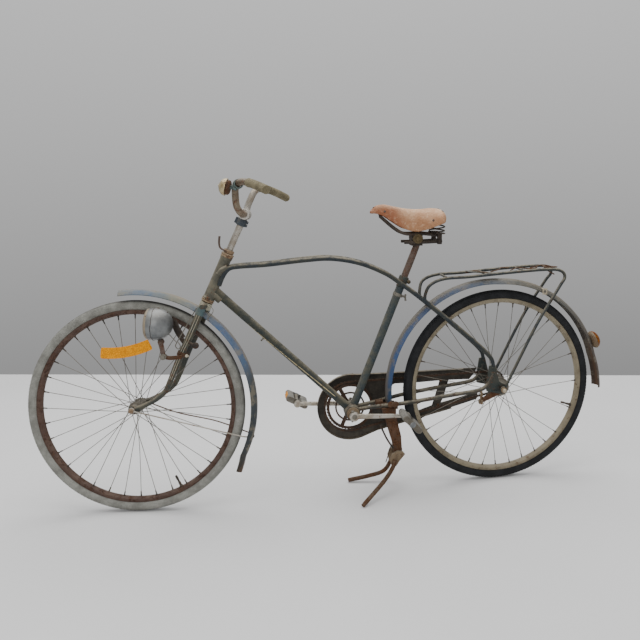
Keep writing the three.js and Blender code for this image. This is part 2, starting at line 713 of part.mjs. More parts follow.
// The guard's flat plate, its rim turned in towards the chain, and its clip on the stay
{
  const outerFace = -guardPlane - guardThickness, innerFace = -guardPlane;
  const hub = from(bracket, -6, 0, -7), eye = from(bracket, 2, 0, -10);
  const pairs = (points) => points.map((p) => [p.x, p.z]);
  const under = pairs([
    from(bracket, -99, 0, -100), from(bracket, -168, 0, -84), from(bracket, -267, 0, -62),
    from(rearAxle, 155, 0, -97),
  ]);
  const lowerEnd = pairs([
    from(rearAxle, 60, 0, -72), from(rearAxle, 50, 0, -58), from(rearAxle, 56, 0, -44),
  ]);
  const slot = pairs([
    from(rearAxle, 155, 0, -67), from(bracket, -310, 0, -22), from(bracket, -246, 0, -42),
    from(bracket, -193, 0, -49), from(bracket, -163, 0, -48), from(bracket, -156, 0, -41),
    from(bracket, -155, 0, 56), from(bracket, -159, 0, 64), from(bracket, -168, 0, 67),
    from(bracket, -244, 0, 66), from(rearAxle, 197, 0, 9), from(rearAxle, 111, 0, 8),
  ]);
  const upperEnd = pairs([
    from(rearAxle, 86, 0, 7), from(rearAxle, 74, 0, 20), from(rearAxle, 64, 0, 35),
    from(rearAxle, 58, 0, 49),
  ]);
  const over = pairs([from(rearAxle, 110, 0, 49.5), from(bracket, -168, 0, 110)]);
  const front = circle(hub.x, hub.z, guardRadius, 100, -108, 34);
  const window = circle(eye.x, eye.z, guardWindowRadius, 0, 348, 29);
  const face = plate([...front, ...under, ...lowerEnd, ...slot, ...upperEnd, ...over], [window],
    outerFace, innerFace);
  const rim = plate(strip([...over, ...front, ...under], guardThickness), [],
    innerFace - guardThickness / 2, innerFace + guardRim);
  const strap = plate(pairs([
    from(rearAxle, 163, 0, 14), from(rearAxle, 197, 0, 14), from(rearAxle, 219, 0, -58),
    from(rearAxle, 229, 0, -88), from(rearAxle, 198, 0, -84), from(rearAxle, 184, 0, -56),
  ]), [], outerFace, innerFace);
  const clip = box(V(189, (innerFace - stayRearSpread) / 2 - 0.5, rearAxle.z - 11),
    V(20, guardPlane - stayRearSpread + 1, 14));
  add(frame, 'chain_guard', cut(join(face, rim, strap, clip), chainStay(-1, gap)), darkRust);
}

// Stand
// A fixed bracket hangs from the chain stays; the legs' casting turns on its pin
const standPivot = V(wheelRadius + standBehindTyre, 0, standPivotHeight);
const standPin = 8, standEye = 15, webHalf = 16, cheekInner = 18, cheekOuter = 30;
{
  const p = standPivot;
  const web = plate([[p.x + 60, bracket.z + 8], [p.x + 8, bracket.z + 8],
    [p.x + 8, bracket.z - 28], [p.x - 10, p.z + 70], [p.x - 14, p.z + 4], [p.x + 14, p.z + 4],
    [p.x + 18, p.z + 40], [p.x + 34, p.z + 94], [p.x + 48, bracket.z - 28]],
  [], -webHalf, webHalf);
  const eye = pin(V(p.x, -webHalf, p.z), V(p.x, webHalf, p.z), standEye, 16);
  const top = box(V(p.x + 34, 0, bracket.z + 10), V(56, 76, 7));
  const clamp = box(V(p.x + 66, 0, bracket.z + 17), V(24, 30, 26));
  add(frame, 'stand_bracket', cut(join(web, eye, top, clamp), shellTool,
    pin(V(p.x, -60, p.z), V(p.x, 60, p.z), standPin + gap, 16),
    chainStay(1, gap), chainStay(-1, gap)), rust);
}

const stand = new THREE.Group();
bicycle.add(stand);
{
  const p = standPivot;
  const cheek = [[p.x - 22, p.z + 6], [p.x - 14, p.z + 15], [p.x + 4, p.z + 19],
    [p.x + 24, p.z + 10], [p.x + 32, p.z - 12], [p.x + 26, p.z - 34], [p.x + 10, p.z - 36],
    [p.x, p.z - 20]];
  add(stand, 'stand_knuckle', join(
    pin(V(p.x, -cheekOuter, p.z), V(p.x, cheekOuter, p.z), standPin, 16),
    plate(cheek, [], -cheekOuter, -cheekInner), plate(cheek, [], cheekInner, cheekOuter)), rust);
  const seat = box(V(p.x + 8, 0, p.z - 10), V(90, 2 * (cheekOuter + gap), 70));
  const legLook = { sides: 10, steps: 14 };
  const leftLeg = [V(p.x + 16, 30, p.z - 12), V(p.x + 26, 44, p.z - 34),
    V(p.x + 66, 84, 55), V(p.x + 148, 150, 6.9)];
  const rightLeg = [V(p.x + 16, -30, p.z - 14), V(p.x + 20, -44, p.z - 50),
    V(p.x + 44, -50, 36), V(p.x + 100, -55, 20), V(p.x + 170, -62, 7.6)];
  add(stand, 'stand_leg_left', cut(tube(leftLeg, standTube / 2, legLook), seat), rust);
  add(stand, 'stand_leg_right', cut(tube(rightLeg, standTube / 2, legLook), seat), rust);
}

// Cranks and pedals
const crankGroup = new THREE.Group();
bicycle.add(crankGroup);
const planeAt = (side) => (side > 0 ? leftCrankPlane : crankPlane);
add(crankGroup, 'crank_axle', pin(V(bracket.x, -planeAt(-1) + 7 + gap, bracket.z),
  V(bracket.x, planeAt(1) - 7 - gap, bracket.z), crankAxleRadius, 16), dullSteel);
const pedalAt = (side) => {
  const a = (side > 0 ? crankAngle : crankAngle - 180) * DEG;
  return V(bracket.x + crankLength * Math.cos(a), 0, bracket.z + crankLength * Math.sin(a));
};
for (const [side, name] of [[1, 'left'], [-1, 'right']]) {
  const end = pedalAt(side);
  const y = side * planeAt(side);
  add(crankGroup, `crank_${name}`, join(
    tube([V(bracket.x, 0, bracket.z), V(end.x, 0, end.z)], (t) => 9.5 - 2.5 * t,
      { sides: 10, steps: 2 }).scale(1, 0.68, 1).translate(0, y, 0),
    pin(V(bracket.x, y - 7, bracket.z), V(bracket.x, y + 7, bracket.z), 16, 18),
    pin(V(end.x, y - 7, end.z), V(end.x, y + 7, end.z), 12, 16)), chrome);
}
{
  const armAngles = [62, 187, 293];
  const half = spiderArmWidth / 2, boss = 18, band = 10;
  const openings = [
    [boss, spiderRingRadius - 2], [spiderRingRadius + 2, chainringRadius - band],
  ];
  const holes = [circle(bracket.x, bracket.z, crankAxleRadius + gap, 0, 345, 15)];
  armAngles.forEach((angle, i) => {
    const next = armAngles[(i + 1) % armAngles.length] + (i + 1 < armAngles.length ? 0 : 360);
    for (const [inner, outer] of openings) {
      const lean = (r) => Math.asin(half / r) / DEG;
      holes.push([
        ...circle(bracket.x, bracket.z, outer, angle + lean(outer), next - lean(outer), 10),
        ...circle(bracket.x, bracket.z, inner, next - lean(inner), angle + lean(inner), 7)]);
    }
  });
  add(crankGroup, 'chainring', plate(circle(bracket.x, bracket.z, chainringRadius, 0, 352, 44),
    holes, ringPlane - 1.5, ringPlane + 1.5), darkRust);
}

for (const [side, name] of [[1, 'left'], [-1, 'right']]) {
  const group = new THREE.Group();
  bicycle.add(group);
  const end = pedalAt(side);
  const inner = planeAt(side) + 7 + gap, plateFrom = inner + 6, outer = plateFrom + pedalWidth;
  const turn = side > 0 ? 45 : 28;
  const local = (along, y, up) => {
    const c = Math.cos(turn * DEG), s = Math.sin(turn * DEG);
    return V(end.x + along * c - up * s, side * y, end.z + along * s + up * c);
  };
  const block = (along) => box(local(along, (plateFrom + outer) / 2, 0),
    V(26, pedalWidth - 2 * (pedalPlate + gap), 24), -turn);
  const plateAt = (y) => box(local(0, y, 0), V(pedalLength, pedalPlate, 20), -turn);
  add(group, `pedal_${name}_cage`, join(
    pin(V(end.x, side * inner, end.z), V(end.x, side * outer, end.z), 8, 14),
    plateAt(plateFrom + pedalPlate / 2), plateAt(outer - pedalPlate / 2)), dullSteel);
  for (const [sign, label] of [[1, 'front'], [-1, 'rear']]) {
    add(group, `pedal_${name}_pad_${label}`, block(sign * (pedalLength / 2 - 14)), greyRubber);
  }
}

// Front mudguard, which the fork and its own stay are cut to
const frontGuard = {
  middle: frontAxle, start: 83, end: 214.5, steps: 18,
  radiusAt: (t) => mudguardRadius - 5 + 6 * t + 14 * Math.max(0, (t - 0.94) / 0.06),
};
add(steering, 'front_mudguard', guardSheet(frontGuard), bluePaint);

// Fork: steerer, crown, and two raked blades with plates at their tips
const crownTop = headTubeLow - 13;
const bladeTop = bladeTopDiameter / 2, bladeTip = bladeTipDiameter / 2;
const tipSpread = 56, tipPlate = 5;
const bladePath = [
  onHead(crownTop - 16, bladeTopSpread), V(onHead(260).x - 2, 47, onHead(260).z + 1.5),
  V(onHead(187).x, 51, onHead(187).z + 1), V(onHead(90).x - 2, 55, onHead(90).z - 2),
  from(frontAxle, -102, tipSpread, 55), from(frontAxle, -77, tipSpread, 34),
  from(frontAxle, -39, tipSpread, 14), from(frontAxle, -8, tipSpread, 3),
];
const blade = (side, clearance = 0) => tube(flipY(bladePath, side),
  (t) => clearance + bladeTop + (bladeTip - bladeTop) * Math.min(1, t * 1.15),
  { steps: 14, sides: 8 });
const frontEyeFrom = tipSpread + bladeTip + 0.5, frontEyeTo = frontEyeFrom + 3;
const frontNutEnd = frontEyeTo + gap + 5.5;
{
  const parts = [
    pin(onHead(crownTop - 30), onHead(headTop + 18), steererDiameter / 2, 14),
    pin(onHead(crownTop - 22), onHead(crownTop), headRadius + 2, 20),
    tube([onHead(crownTop - 11, -bladeTopSpread - bladeTop + 2),
      onHead(crownTop - 11, bladeTopSpread + bladeTop - 2)], 9.5, { sides: 12 }),
  ];
  for (const side of [-1, 1]) {
    parts.push(blade(side));
    const y = side > 0 ? tipSpread - 4 : -tipSpread - 1;
    parts.push(plate([...circle(frontAxle.x, frontAxle.z, 13, -120, 120, 12),
      [frontAxle.x - 22, frontAxle.z + 14], [frontAxle.x - 24, frontAxle.z - 2]],
    [], y, y + tipPlate));
  }
  const axleBore = pin(V(frontAxle.x, -90, frontAxle.z), V(frontAxle.x, 90, frontAxle.z),
    axleDiameter / 2 + gap, 16);
  add(steering, 'fork', cut(join(...parts), axleBore, guardTool(frontGuard, gap, 20)), paint);
  add(steering, 'front_axle', join(
    pin(V(frontAxle.x, -frontNutEnd, frontAxle.z), V(frontAxle.x, frontNutEnd, frontAxle.z),
      axleDiameter / 2, 16),
    nut(frontAxle.x, frontAxle.z, 1, frontEyeTo + gap, frontNutEnd),
    nut(frontAxle.x, frontAxle.z, -1, frontEyeTo + gap, frontNutEnd),
  ), chrome);
}

// The wire stay from the front axle, under the mudguard's lower end and back
{
  const wire = stayWire / 2, angle = 196.5 * DEG;
  const at = (r, y) => V(frontAxle.x + r * Math.cos(angle), y, frontAxle.z + r * Math.sin(angle));
  const eyeMiddle = (frontEyeFrom + frontEyeTo) / 2;
  const guardInner = mudguardRadius + 0.4 - sheetThickness;
  const half = [
    at(9, eyeMiddle), at(120, 54.5), at(250, 42), at(350, 32), at(366, 28),
    at(guardInner - 18, 24), at(guardInner - 12, 17), at(guardInner - 5, 8),
  ];
  const path = [...half, at(guardInner - wire, 0), ...flipY(half, -1).reverse()];
  const eyes = [1, -1].map((side) => pin(V(frontAxle.x, side * frontEyeFrom, frontAxle.z),
    V(frontAxle.x, side * frontEyeTo, frontAxle.z), 10, 14));
  const bore = pin(V(frontAxle.x, -90, frontAxle.z), V(frontAxle.x, 90, frontAxle.z),
    axleDiameter / 2 + gap, 16);
  add(steering, 'front_mudguard_stay', cut(
    join(tube(path, (t) => (t < 0.005 || t > 0.995 ? 1.4 : wire), { steps: 34, sides: 5 }), ...eyes),
    bore, guardTool(frontGuard, 4, gap)), dullSteel);
}

// Stem and handlebar
const stemLow = headTop + 18 + gap, stemHigh = stemLow + stemLength;
const barCentre = onHead(stemHigh);
const stemClampHalf = 21;
add(steering, 'headset_locknut', ring(onHead(headTop + 14.5), onHead(headTop + 26),
  headRadius - 1, bore, 18), rust);
add(steering, 'stem', cut(join(
  pin(onHead(stemLow), barCentre, stemDiameter / 2, 18),
  pin(barCentre.clone().setY(-stemClampHalf), barCentre.clone().setY(stemClampHalf), 18, 20),
  pin(onHead(stemHigh - 38), onHead(stemHigh - 16), 16, 16)),
pin(barCentre.clone().setY(-60), barCentre.clone().setY(60), barDiameter / 2 + 2 * gap, 24)),
chrome);
{
  const b = barCentre;
  const barSide = [
    from(b, 0, 12, 0), from(b, 0, 24, 0), from(b, 2, 38, 1), from(b, 8, 52, 8),
    from(b, 16, 60, 28), from(b, 18, 64, 62), from(b, 14, 78, 84), from(b, -2, 104, 96),
    from(b, -22, 140, 96), from(b, -60, 190, 85), from(b, -108, barHalfWidth, 64),
  ];
  // The right half has been knocked back
  const barKnocked = [
    from(b, 0, 12, 0), from(b, 0, 24, 0), from(b, 0, 38, 0), from(b, 3, 53, 6),
    from(b, 2, 62, 26), from(b, -12, 66, 60), from(b, -22, 78, 80), from(b, -34, 106, 89),
    from(b, -50, 145, 90), from(b, -74, 195, 82), from(b, -108, barHalfWidth, 64),
  ];
  const path = [...flipY(barKnocked, -1).reverse(), V(b.x, 0, b.z), ...barSide];
  const whole = new THREE.CatmullRomCurve3(path, false, 'catmullrom', 0.5);
  const span = (start, end, count) => Array.from({ length: count + 1 }, (_, i) =>
    whole.getPointAt(start + ((end - start) * i) / count));
  const gripShare = 0.165, barSteps = 34;
  const barPoints = span(0.012, 0.988, barSteps);
  const bar = (clearance = 0) => {
    const points = barPoints.map((p) => p.clone());
    for (const [end, next] of [[0, 1], [barSteps, barSteps - 1]]) {
      points[end].addScaledVector(barPoints[end].clone().sub(barPoints[next]).normalize(), clearance);
    }
    return tube(points, barDiameter / 2 + clearance, { steps: barSteps, sides: 8 });
  };
  add(steering, 'handlebar', bar(), chrome);
  for (const [side, name] of [[1, 'left'], [-1, 'right']]) {
    const start = side > 0 ? 1 - gripShare : gripShare, end = side > 0 ? 1 : 0;
    add(steering, `grip_${name}`, cut(tube(span(start, end, 5), gripDiameter / 2,
      { steps: 5, sides: 12 }), bar(gap)), grip);
  }
  // Bell in front of the left rise of the bar, on its own clamp
  const bellAt = from(b, 36, 96, 82);
  add(steering, 'bell', cut(join(
    tube([bellAt, from(bellAt, 26, 96, 6)], (t) => 27 * Math.sqrt(1 - 0.8 * t * t),
      { sides: 16, steps: 6 }),
    tube([from(bellAt, -9, 96, -2), bellAt], 22, { sides: 18 }),
    pin(from(b, 3, 96, 92), from(bellAt, -4, 96, 0), 8, 10)), bar(gap)), brass);
}

// Headlamp on its arm, outside the left blade
{
  const lamp = onHead(309, 96).add(V(103, 0, 0));
  const lampRadius = 51, lampHalf = 42, bulge = 0.42;
  const lampBody = (clearance = 0) => tube(
    [from(lamp, lampHalf + clearance, 96, 2), from(lamp, -lampHalf - clearance, 96, -2)],
    (t) => clearance + lampRadius * Math.sqrt(1 - Math.pow(
      (t - bulge) / (t < bulge ? 0.75 : 0.6), 2)), { sides: 20, steps: 8 });
  add(steering, 'headlamp', lampBody(), chrome);
  const arm = tube([from(lamp, -60, 60, -110), from(lamp, -44, 84, -109), from(lamp, -11, 96, -103),
    from(lamp, -6, 96, -71), from(lamp, -6, 96, -40)], 7, { sides: 8, steps: 12 });
  add(steering, 'headlamp_arm', cut(arm, blade(1, gap), lampBody(gap)), rust);
}

// Pose and origin
const turnFork = new THREE.Matrix4()
  .makeTranslation(headBase.x, headBase.y, headBase.z)
  .multiply(new THREE.Matrix4().makeRotationAxis(headDirection, steerAngle * DEG))
  .multiply(new THREE.Matrix4().makeTranslation(-headBase.x, -headBase.y, -headBase.z));
steering.applyMatrix4(turnFork);
bicycle.updateMatrixWorld(true);

const extent = new THREE.Box3().setFromObject(bicycle, true);
const middle = extent.getCenter(new THREE.Vector3());
bicycle.position.set(-middle.x, -middle.y, -extent.min.z);
bicycle.updateMatrixWorld(true);

export default bicycle;
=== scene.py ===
"""An old roadster bicycle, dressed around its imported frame.

Every form is drawn in the bicycle's own millimetres: the rear axle is at X 0 and 350 above the
floor, X runs forward, Y to the rider's left. Layout turns that into the frame's metres.
"""

from __future__ import annotations

import logging
import math
from dataclasses import dataclass
from enum import Enum
from typing import Callable, ClassVar, Sequence

import bmesh
import bpy
import numpy as np
from mathutils import Matrix, Vector
from mathutils.geometry import tessellate_polygon


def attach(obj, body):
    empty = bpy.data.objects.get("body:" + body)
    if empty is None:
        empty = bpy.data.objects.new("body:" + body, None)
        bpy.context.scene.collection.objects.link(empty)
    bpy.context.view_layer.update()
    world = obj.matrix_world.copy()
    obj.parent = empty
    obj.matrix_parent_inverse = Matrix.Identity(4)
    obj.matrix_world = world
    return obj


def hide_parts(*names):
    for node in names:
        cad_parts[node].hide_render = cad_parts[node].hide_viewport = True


logging.basicConfig(level=logging.INFO, format="%(message)s")
LOG = logging.getLogger("bicycle")

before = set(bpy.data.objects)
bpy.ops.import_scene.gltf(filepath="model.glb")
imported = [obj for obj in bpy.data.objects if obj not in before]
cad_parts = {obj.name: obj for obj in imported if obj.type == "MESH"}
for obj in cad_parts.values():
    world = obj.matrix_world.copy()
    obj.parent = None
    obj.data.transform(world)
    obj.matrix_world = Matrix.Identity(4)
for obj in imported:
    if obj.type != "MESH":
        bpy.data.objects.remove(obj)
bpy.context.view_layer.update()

Point = np.ndarray
Colour = tuple[float, float, float, float]
Radius = float | Callable[[float], float]
DEG = math.pi / 180
ACROSS = np.array([0.0, 1.0, 0.0])


def vec(x: float, y: float, z: float) -> Point:
    """A point in the bicycle's millimetres."""
    return np.array([x, y, z], float)


def unit(v: Point) -> Point:
    """The direction of a vector."""
    return v / np.linalg.norm(v)


def mirrored(points: Sequence[Point], side: float) -> list[Point]:
    """The points on the left for side 1, or on the right for side -1."""
    return [vec(p[0], p[1] * side, p[2]) for p in points]


def both_ways(*half: tuple[float, float]) -> list[tuple[float, float]]:
    """A lathe's profile that is the same both ways, from pairs of radius and distance."""
    return [(r, -along) for r, along in half] + [(r, along) for r, along in half[::-1] if along]


def placed(name: str, data: bpy.types.ID) -> bpy.types.Object:
    """A new object that is in the scene."""
    made = bpy.data.objects.new(name, data)
    bpy.context.scene.collection.objects.link(made)
    return made


def spline(points: Sequence[Point], spacing: float = 7.0) -> Point:
    """Even points on the smooth curve through a path.

    Args:
        points: the path's corners, in order.
        spacing: about how far apart the points come out.

    Returns:
        An array of points, the first and last of which are the path's ends.
    """
    p = np.asarray(points, float)
    ends = np.vstack([2 * p[0] - p[1], p, 2 * p[-1] - p[-2]])
    dense = []
    for i in range(1, len(ends) - 2):
        a, b, c, d = ends[i - 1 : i + 3]
        for t in np.linspace(0, 1, 24, endpoint=False):
            dense.append(
                0.5 * (2 * b + (c - a) * t + (2 * a - 5 * b + 4 * c - d) * t * t
                       + (3 * b - a - 3 * c + d) * t ** 3)
            )
    dense = np.array([*dense, p[-1]])
    run = np.concatenate([[0], np.cumsum(np.linalg.norm(np.diff(dense, axis=0), axis=1))])
    count = max(2, int(run[-1] / spacing) + 1)
    even = np.linspace(0, run[-1], count)
    return np.stack([np.interp(even, run, dense[:, k]) for k in range(3)], axis=1)


@dataclass(frozen=True)
class Layout:
    """The places that the sub-assemblies share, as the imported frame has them."""

    wheel_radius: float = 350.0
    wheelbase: float = 1239.0
    head_angle: float = 65.5
    fork_offset: float = 78.0
    steer_angle: float = -9.9
    seat_angle: float = 68.1
    bracket_x: float = 533.0
    bracket_z: float = 290.0
    head_low: float = 386.0
    head_top: float = 534.0
    seat_length: float = 503.0
    post_rise: float = 118.0
    guard_radius: float = 390.0
    shift_x: float = -590.3534630986895
    shift_y: float = -10.897545496466606

    @property
    def rear_axle(self) -> Point:
        """The middle of the rear wheel."""
        return vec(0, 0, self.wheel_radius)

    @property
    def front_axle(self) -> Point:
        """The middle of the front wheel, with the fork straight."""
        return vec(self.wheelbase, 0, self.wheel_radius)

    @property
    def bracket(self) -> Point:
        """The middle of the crank axle."""
        return vec(self.bracket_x, 0, self.bracket_z)

    @property
    def head_direction(self) -> Point:
        """Up along the steering axis."""
        return vec(-math.cos(self.head_angle * DEG), 0, math.sin(self.head_angle * DEG))

    @property
    def seat_direction(self) -> Point:
        """Up along the seat tube."""
        return vec(-math.cos(self.seat_angle * DEG), 0, math.sin(self.seat_angle * DEG))

    def on_head(self, along: float, y: float = 0.0) -> Point:
        """A point on the steering axis, this far up from the axle's height."""
        base = vec(self.wheelbase - self.fork_offset, y, self.wheel_radius)
        return base + self.head_direction * along

    def on_seat(self, along: float, y: float = 0.0) -> Point:
        """A point on the seat tube's line, this far up from the crank axle."""
        return self.bracket + self.seat_direction * along + vec(0, y, 0)

    def row(self) -> Matrix:
        """Millimetres of the bicycle to metres of the frame."""
        return Matrix.Scale(0.001, 4) @ Matrix.Translation((self.shift_x, self.shift_y, 0))

    def turned(self) -> Matrix:
        """The same for what turns with the fork, which is parked a little to the right."""
        base = Vector(self.on_head(0))
        turn = Matrix.Rotation(self.steer_angle * DEG, 4, Vector(self.head_direction))
        return self.row() @ Matrix.Translation(base) @ turn @ Matrix.Translation(-base)

    def matrix(self, body: str) -> Matrix:
        """From a body's millimetres, with the fork set straight, to the frame's metres."""
        return self.turned() if body in ("steering", "front_wheel") else self.row()


LAYOUT = Layout()


class Form:
    """Points and faces gathered before they become a piece."""

    def __init__(self) -> None:
        """Starts empty."""
        self.points: list[tuple[float, float, float]] = []
        self.faces: list[tuple[int, ...]] = []

    def grid(self, rows: Point, around: bool = False, loop: bool = False) -> int:
        """Adds a sheet of quads.

        Args:
            rows: points as an array of rows, columns and 3.
            around: joins the last column to the first.
            loop: joins the last row to the first.

        Returns:
            The index of its first point.
        """
        rows = np.asarray(rows, float)
        n, m = rows.shape[:2]
        base = len(self.points)
        self.points.extend(map(tuple, rows.reshape(-1, 3)))
        for i in range(n if loop else n - 1):
            for j in range(m if around else m - 1):
                a, b = base + i * m + j, base + i * m + (j + 1) % m
                c, d = base + ((i + 1) % n) * m + (j + 1) % m, base + ((i + 1) % n) * m + j
                self.faces.append((a, b, c, d))
        return base

    def rings(self, rows: Point) -> Form:
        """Adds rings that join one another, closed at both ends."""
        count, sides = rows.shape[:2]
        base = self.grid(rows, around=True)
        for first in (base, base + (count - 1) * sides):
            self.faces.append(tuple(range(first, first + sides)))
        return self

    def shell(self, outer: Point, inner: Point, halfway: bool = False) -> Form:
        """Adds two sheets and joins their four edges, with a row halfway if asked."""
        self.grid(outer)
        self.grid(inner)
        for a, b in ((outer[0], inner[0]), (outer[-1], inner[-1]), (outer[:, 0], inner[:, 0]),
                     (outer[:, -1], inner[:, -1])):
            self.grid(np.stack([a, (a + b) / 2, b] if halfway else [a, b]))
        return self

    def bend(self, corners: Sequence[Point], spacing: float, radius: Radius, sides: int,
             squash: float = 1.0) -> Form:
        """Adds a tube along the smooth curve through these corners."""
        path = spline(corners, spacing)
        return self.sweep(path, radius, sides, squash)

    def sweep(self, path: Sequence[Point], radius: Radius, sides: int = 14,
              squash: float = 1.0) -> Form:
        """Adds a round or flattened tube.

        Args:
            path: points of its middle line.
            radius: a number, or what gives it for a share of the length.
            sides: how many faces go round it.
            squash: how thick it is across, as a share of the radius.

        Returns:
            This form.
        """
        p = np.asarray(path, float)
        tangents = np.gradient(p, axis=0)
        tangents /= np.linalg.norm(tangents, axis=1)[:, None]
        run = np.concatenate([[0], np.cumsum(np.linalg.norm(np.diff(p, axis=0), axis=1))])
        normal = ACROSS if abs(tangents[0][1]) < 0.9 else vec(1, 0, 0)
        angles = np.linspace(0, 2 * math.pi, sides, endpoint=False)
        rows = []
        for i, tangent in enumerate(tangents):
            normal = unit(normal - tangent * (normal @ tangent))
            other = np.cross(tangent, normal)
            r = radius(run[i] / run[-1]) if callable(radius) else radius
            rows.append(p[i] + r * (np.outer(np.cos(angles) * squash, normal)
                                    + np.outer(np.sin(angles), other)))
        return self.rings(np.array(rows))

    def lathe(self, profile: Sequence[tuple[float, float]], origin: Point, axis: Point,
              segments: int = 36, loop: bool = False) -> Form:
        """Adds what a profile of (radius, along) makes when it turns about an axis.

        Args:
            profile: pairs of radius and distance along the axis.
            origin: where the distance is 0.
            axis: the direction of the axis.
            segments: how many faces go round.
            loop: the profile closes on itself, as a ring's does.

        Returns:
            This form.
        """
        axis = unit(np.asarray(axis, float))
        helper = vec(0, 0, 1) if abs(axis[2]) < 0.9 else vec(1, 0, 0)
        u = unit(np.cross(helper, axis))
        v = np.cross(axis, u)
        angles = np.linspace(0, 2 * math.pi, segments, endpoint=False)
        hoop = np.outer(np.cos(angles), u) + np.outer(np.sin(angles), v)
        rows = np.array([origin + axis * along + max(r, 1e-3) * hoop for r, along in profile])
        if not loop:
            return self.rings(rows)
        self.grid(rows, around=True, loop=True)
        return self

    def plate(self, outline: Sequence[tuple[float, float]],
              holes: Sequence[Sequence[tuple[float, float]]], low: float, high: float) -> Form:
        """Adds a flat plate in the side plane, from an outline and holes in X and Z."""
        loops = [list(outline), *[list(h) for h in holes]]
        flat = [[Vector((x, z, 0)) for x, z in loop] for loop in loops]
        pairs = [pair for loop in loops for pair in loop]
        count, base = len(pairs), len(self.points)
        for y in (low, high):
            self.points.extend((x, y, z) for x, z in pairs)
        for a, b, c in tessellate_polygon(flat):
            self.faces.append((base + a, base + b, base + c))
            self.faces.append((base + count + a, base + count + c, base + count + b))
        start = 0
        for loop in loops:
            for i in range(len(loop)):
                a, b = base + start + i, base + start + (i + 1) % len(loop)
                self.faces.append((a, b, b + count, a + count))
            start += len(loop)
        return self

    def block(self, middle: Point, size: tuple[float, float, float], turn: float = 0.0) -> Form:
        """Adds a squared bar, turned about Y by degrees that lift its front."""
        c, s = math.cos(turn * DEG), math.sin(turn * DEG)
        base = len(self.points)
        for sx in (-0.5, 0.5):
            for sy in (-0.5, 0.5):
                for sz in (-0.5, 0.5):
                    x, z = sx * size[0], sz * size[2]
                    self.points.append((middle[0] + x * c - z * s, middle[1] + sy * size[1],
                                        middle[2] + x * s + z * c))
        for face in ((0, 1, 3, 2), (4, 6, 7, 5), (0, 4, 5, 1), (2, 3, 7, 6), (0, 2, 6, 4),
                     (1, 5, 7, 3)):
            self.faces.append(tuple(base + i for i in face))
        return self

    def pin(self, start: Point, end: Point, radius: float, sides: int = 18) -> Form:
        """Adds a round bar with eased ends between two points."""
        reach = float(np.linalg.norm(end - start))
        ease = min(0.8, radius * 0.25, reach * 0.2)
        return self.lathe([(radius - ease, 0), (radius, ease), (radius, reach - ease),
                           (radius - ease, reach)], start, end - start, sides)

    def nut(self, start: Point, end: Point, across: float, turn: float = 0.0) -> Form:
        """Adds a six-sided nut with rounded corners between two points."""
        axis = unit(end - start)
        helper = vec(math.cos(turn), 0.1, math.sin(turn))
        u = unit(np.cross(axis, helper))
        v = np.cross(axis, u)
        reach, r = float(np.linalg.norm(end - start)), across / 2 / math.cos(math.pi / 6)
        rows = []
        for share, along in ((0.9, 0), (1, 0.12), (1, 0.88), (0.9, 1)):
            rows.append([start + axis * reach * along + r * share
                         * (math.cos(k * math.pi / 3) * u + math.sin(k * math.pi / 3) * v)
                         for k in range(6)])
        return self.rings(np.array(rows))

    def dome(self, place: Point, out: Point, radius: float, height: float) -> Form:
        """Adds a rivet's or bolt's round head that stands on a surface."""
        steps = [(radius * math.cos(a), height * math.sin(a)) for a in np.linspace(0, 1.45, 6)]
        return self.lathe([(radius, -1.0), *steps], place, out, 16)


def circle(x: float, z: float, r: float, start: float = 0, end: float = 360,
           count: int = 48) -> list[tuple[float, float]]:
    """Points of an arc in the side plane; a full turn leaves out its last point."""
    full = abs(end - start) >= 360
    return [(x + r * math.cos(a * DEG), z + r * math.sin(a * DEG))
            for a in np.linspace(start, end, count, endpoint=not full)]


class Signal:
    """One output socket of a shader, usable in sums and products."""

    def __init__(self, graph: Graph, socket: bpy.types.NodeSocket) -> None:
        """Wraps a socket of a graph."""
        self.graph = graph
        self.socket = socket

    def _math(self, operation: str, *values: Signal | float) -> Signal:
        """A Math node on these values."""
        return self.graph.out("ShaderNodeMath", {"operation": operation}, dict(enumerate(values)))

    def __add__(self, other: Signal | float) -> Signal:
        """Sum."""
        return self._math("ADD", self, other)

    __radd__ = __add__

    def __sub__(self, other: Signal | float) -> Signal:
        """Difference."""
        return self._math("SUBTRACT", self, other)

    def __rsub__(self, other: float) -> Signal:
        """A number less this."""
        return self._math("SUBTRACT", other, self)

    def __mul__(self, other: Signal | float) -> Signal:
        """Product."""
        return self._math("MULTIPLY", self, other)

    __rmul__ = __mul__

    def __abs__(self) -> Signal:
        """Size without the sign."""
        return self._math("ABSOLUTE", self)

    def root(self) -> Signal:
        """Square root."""
        return self._math("SQRT", self)

    def over(self, other: Signal) -> Signal:
        """The larger of the two."""
        return self._math("MAXIMUM", self, other)

    def between(self, low: float, high: float) -> Signal:
        """0 at low and 1 at high, smooth in between and flat beyond."""
        return self.graph.out("ShaderNodeMapRange", {"interpolation_type": "SMOOTHSTEP"},
                              {0: self, 1: low, 2: high, 3: 0.0, 4: 1.0})


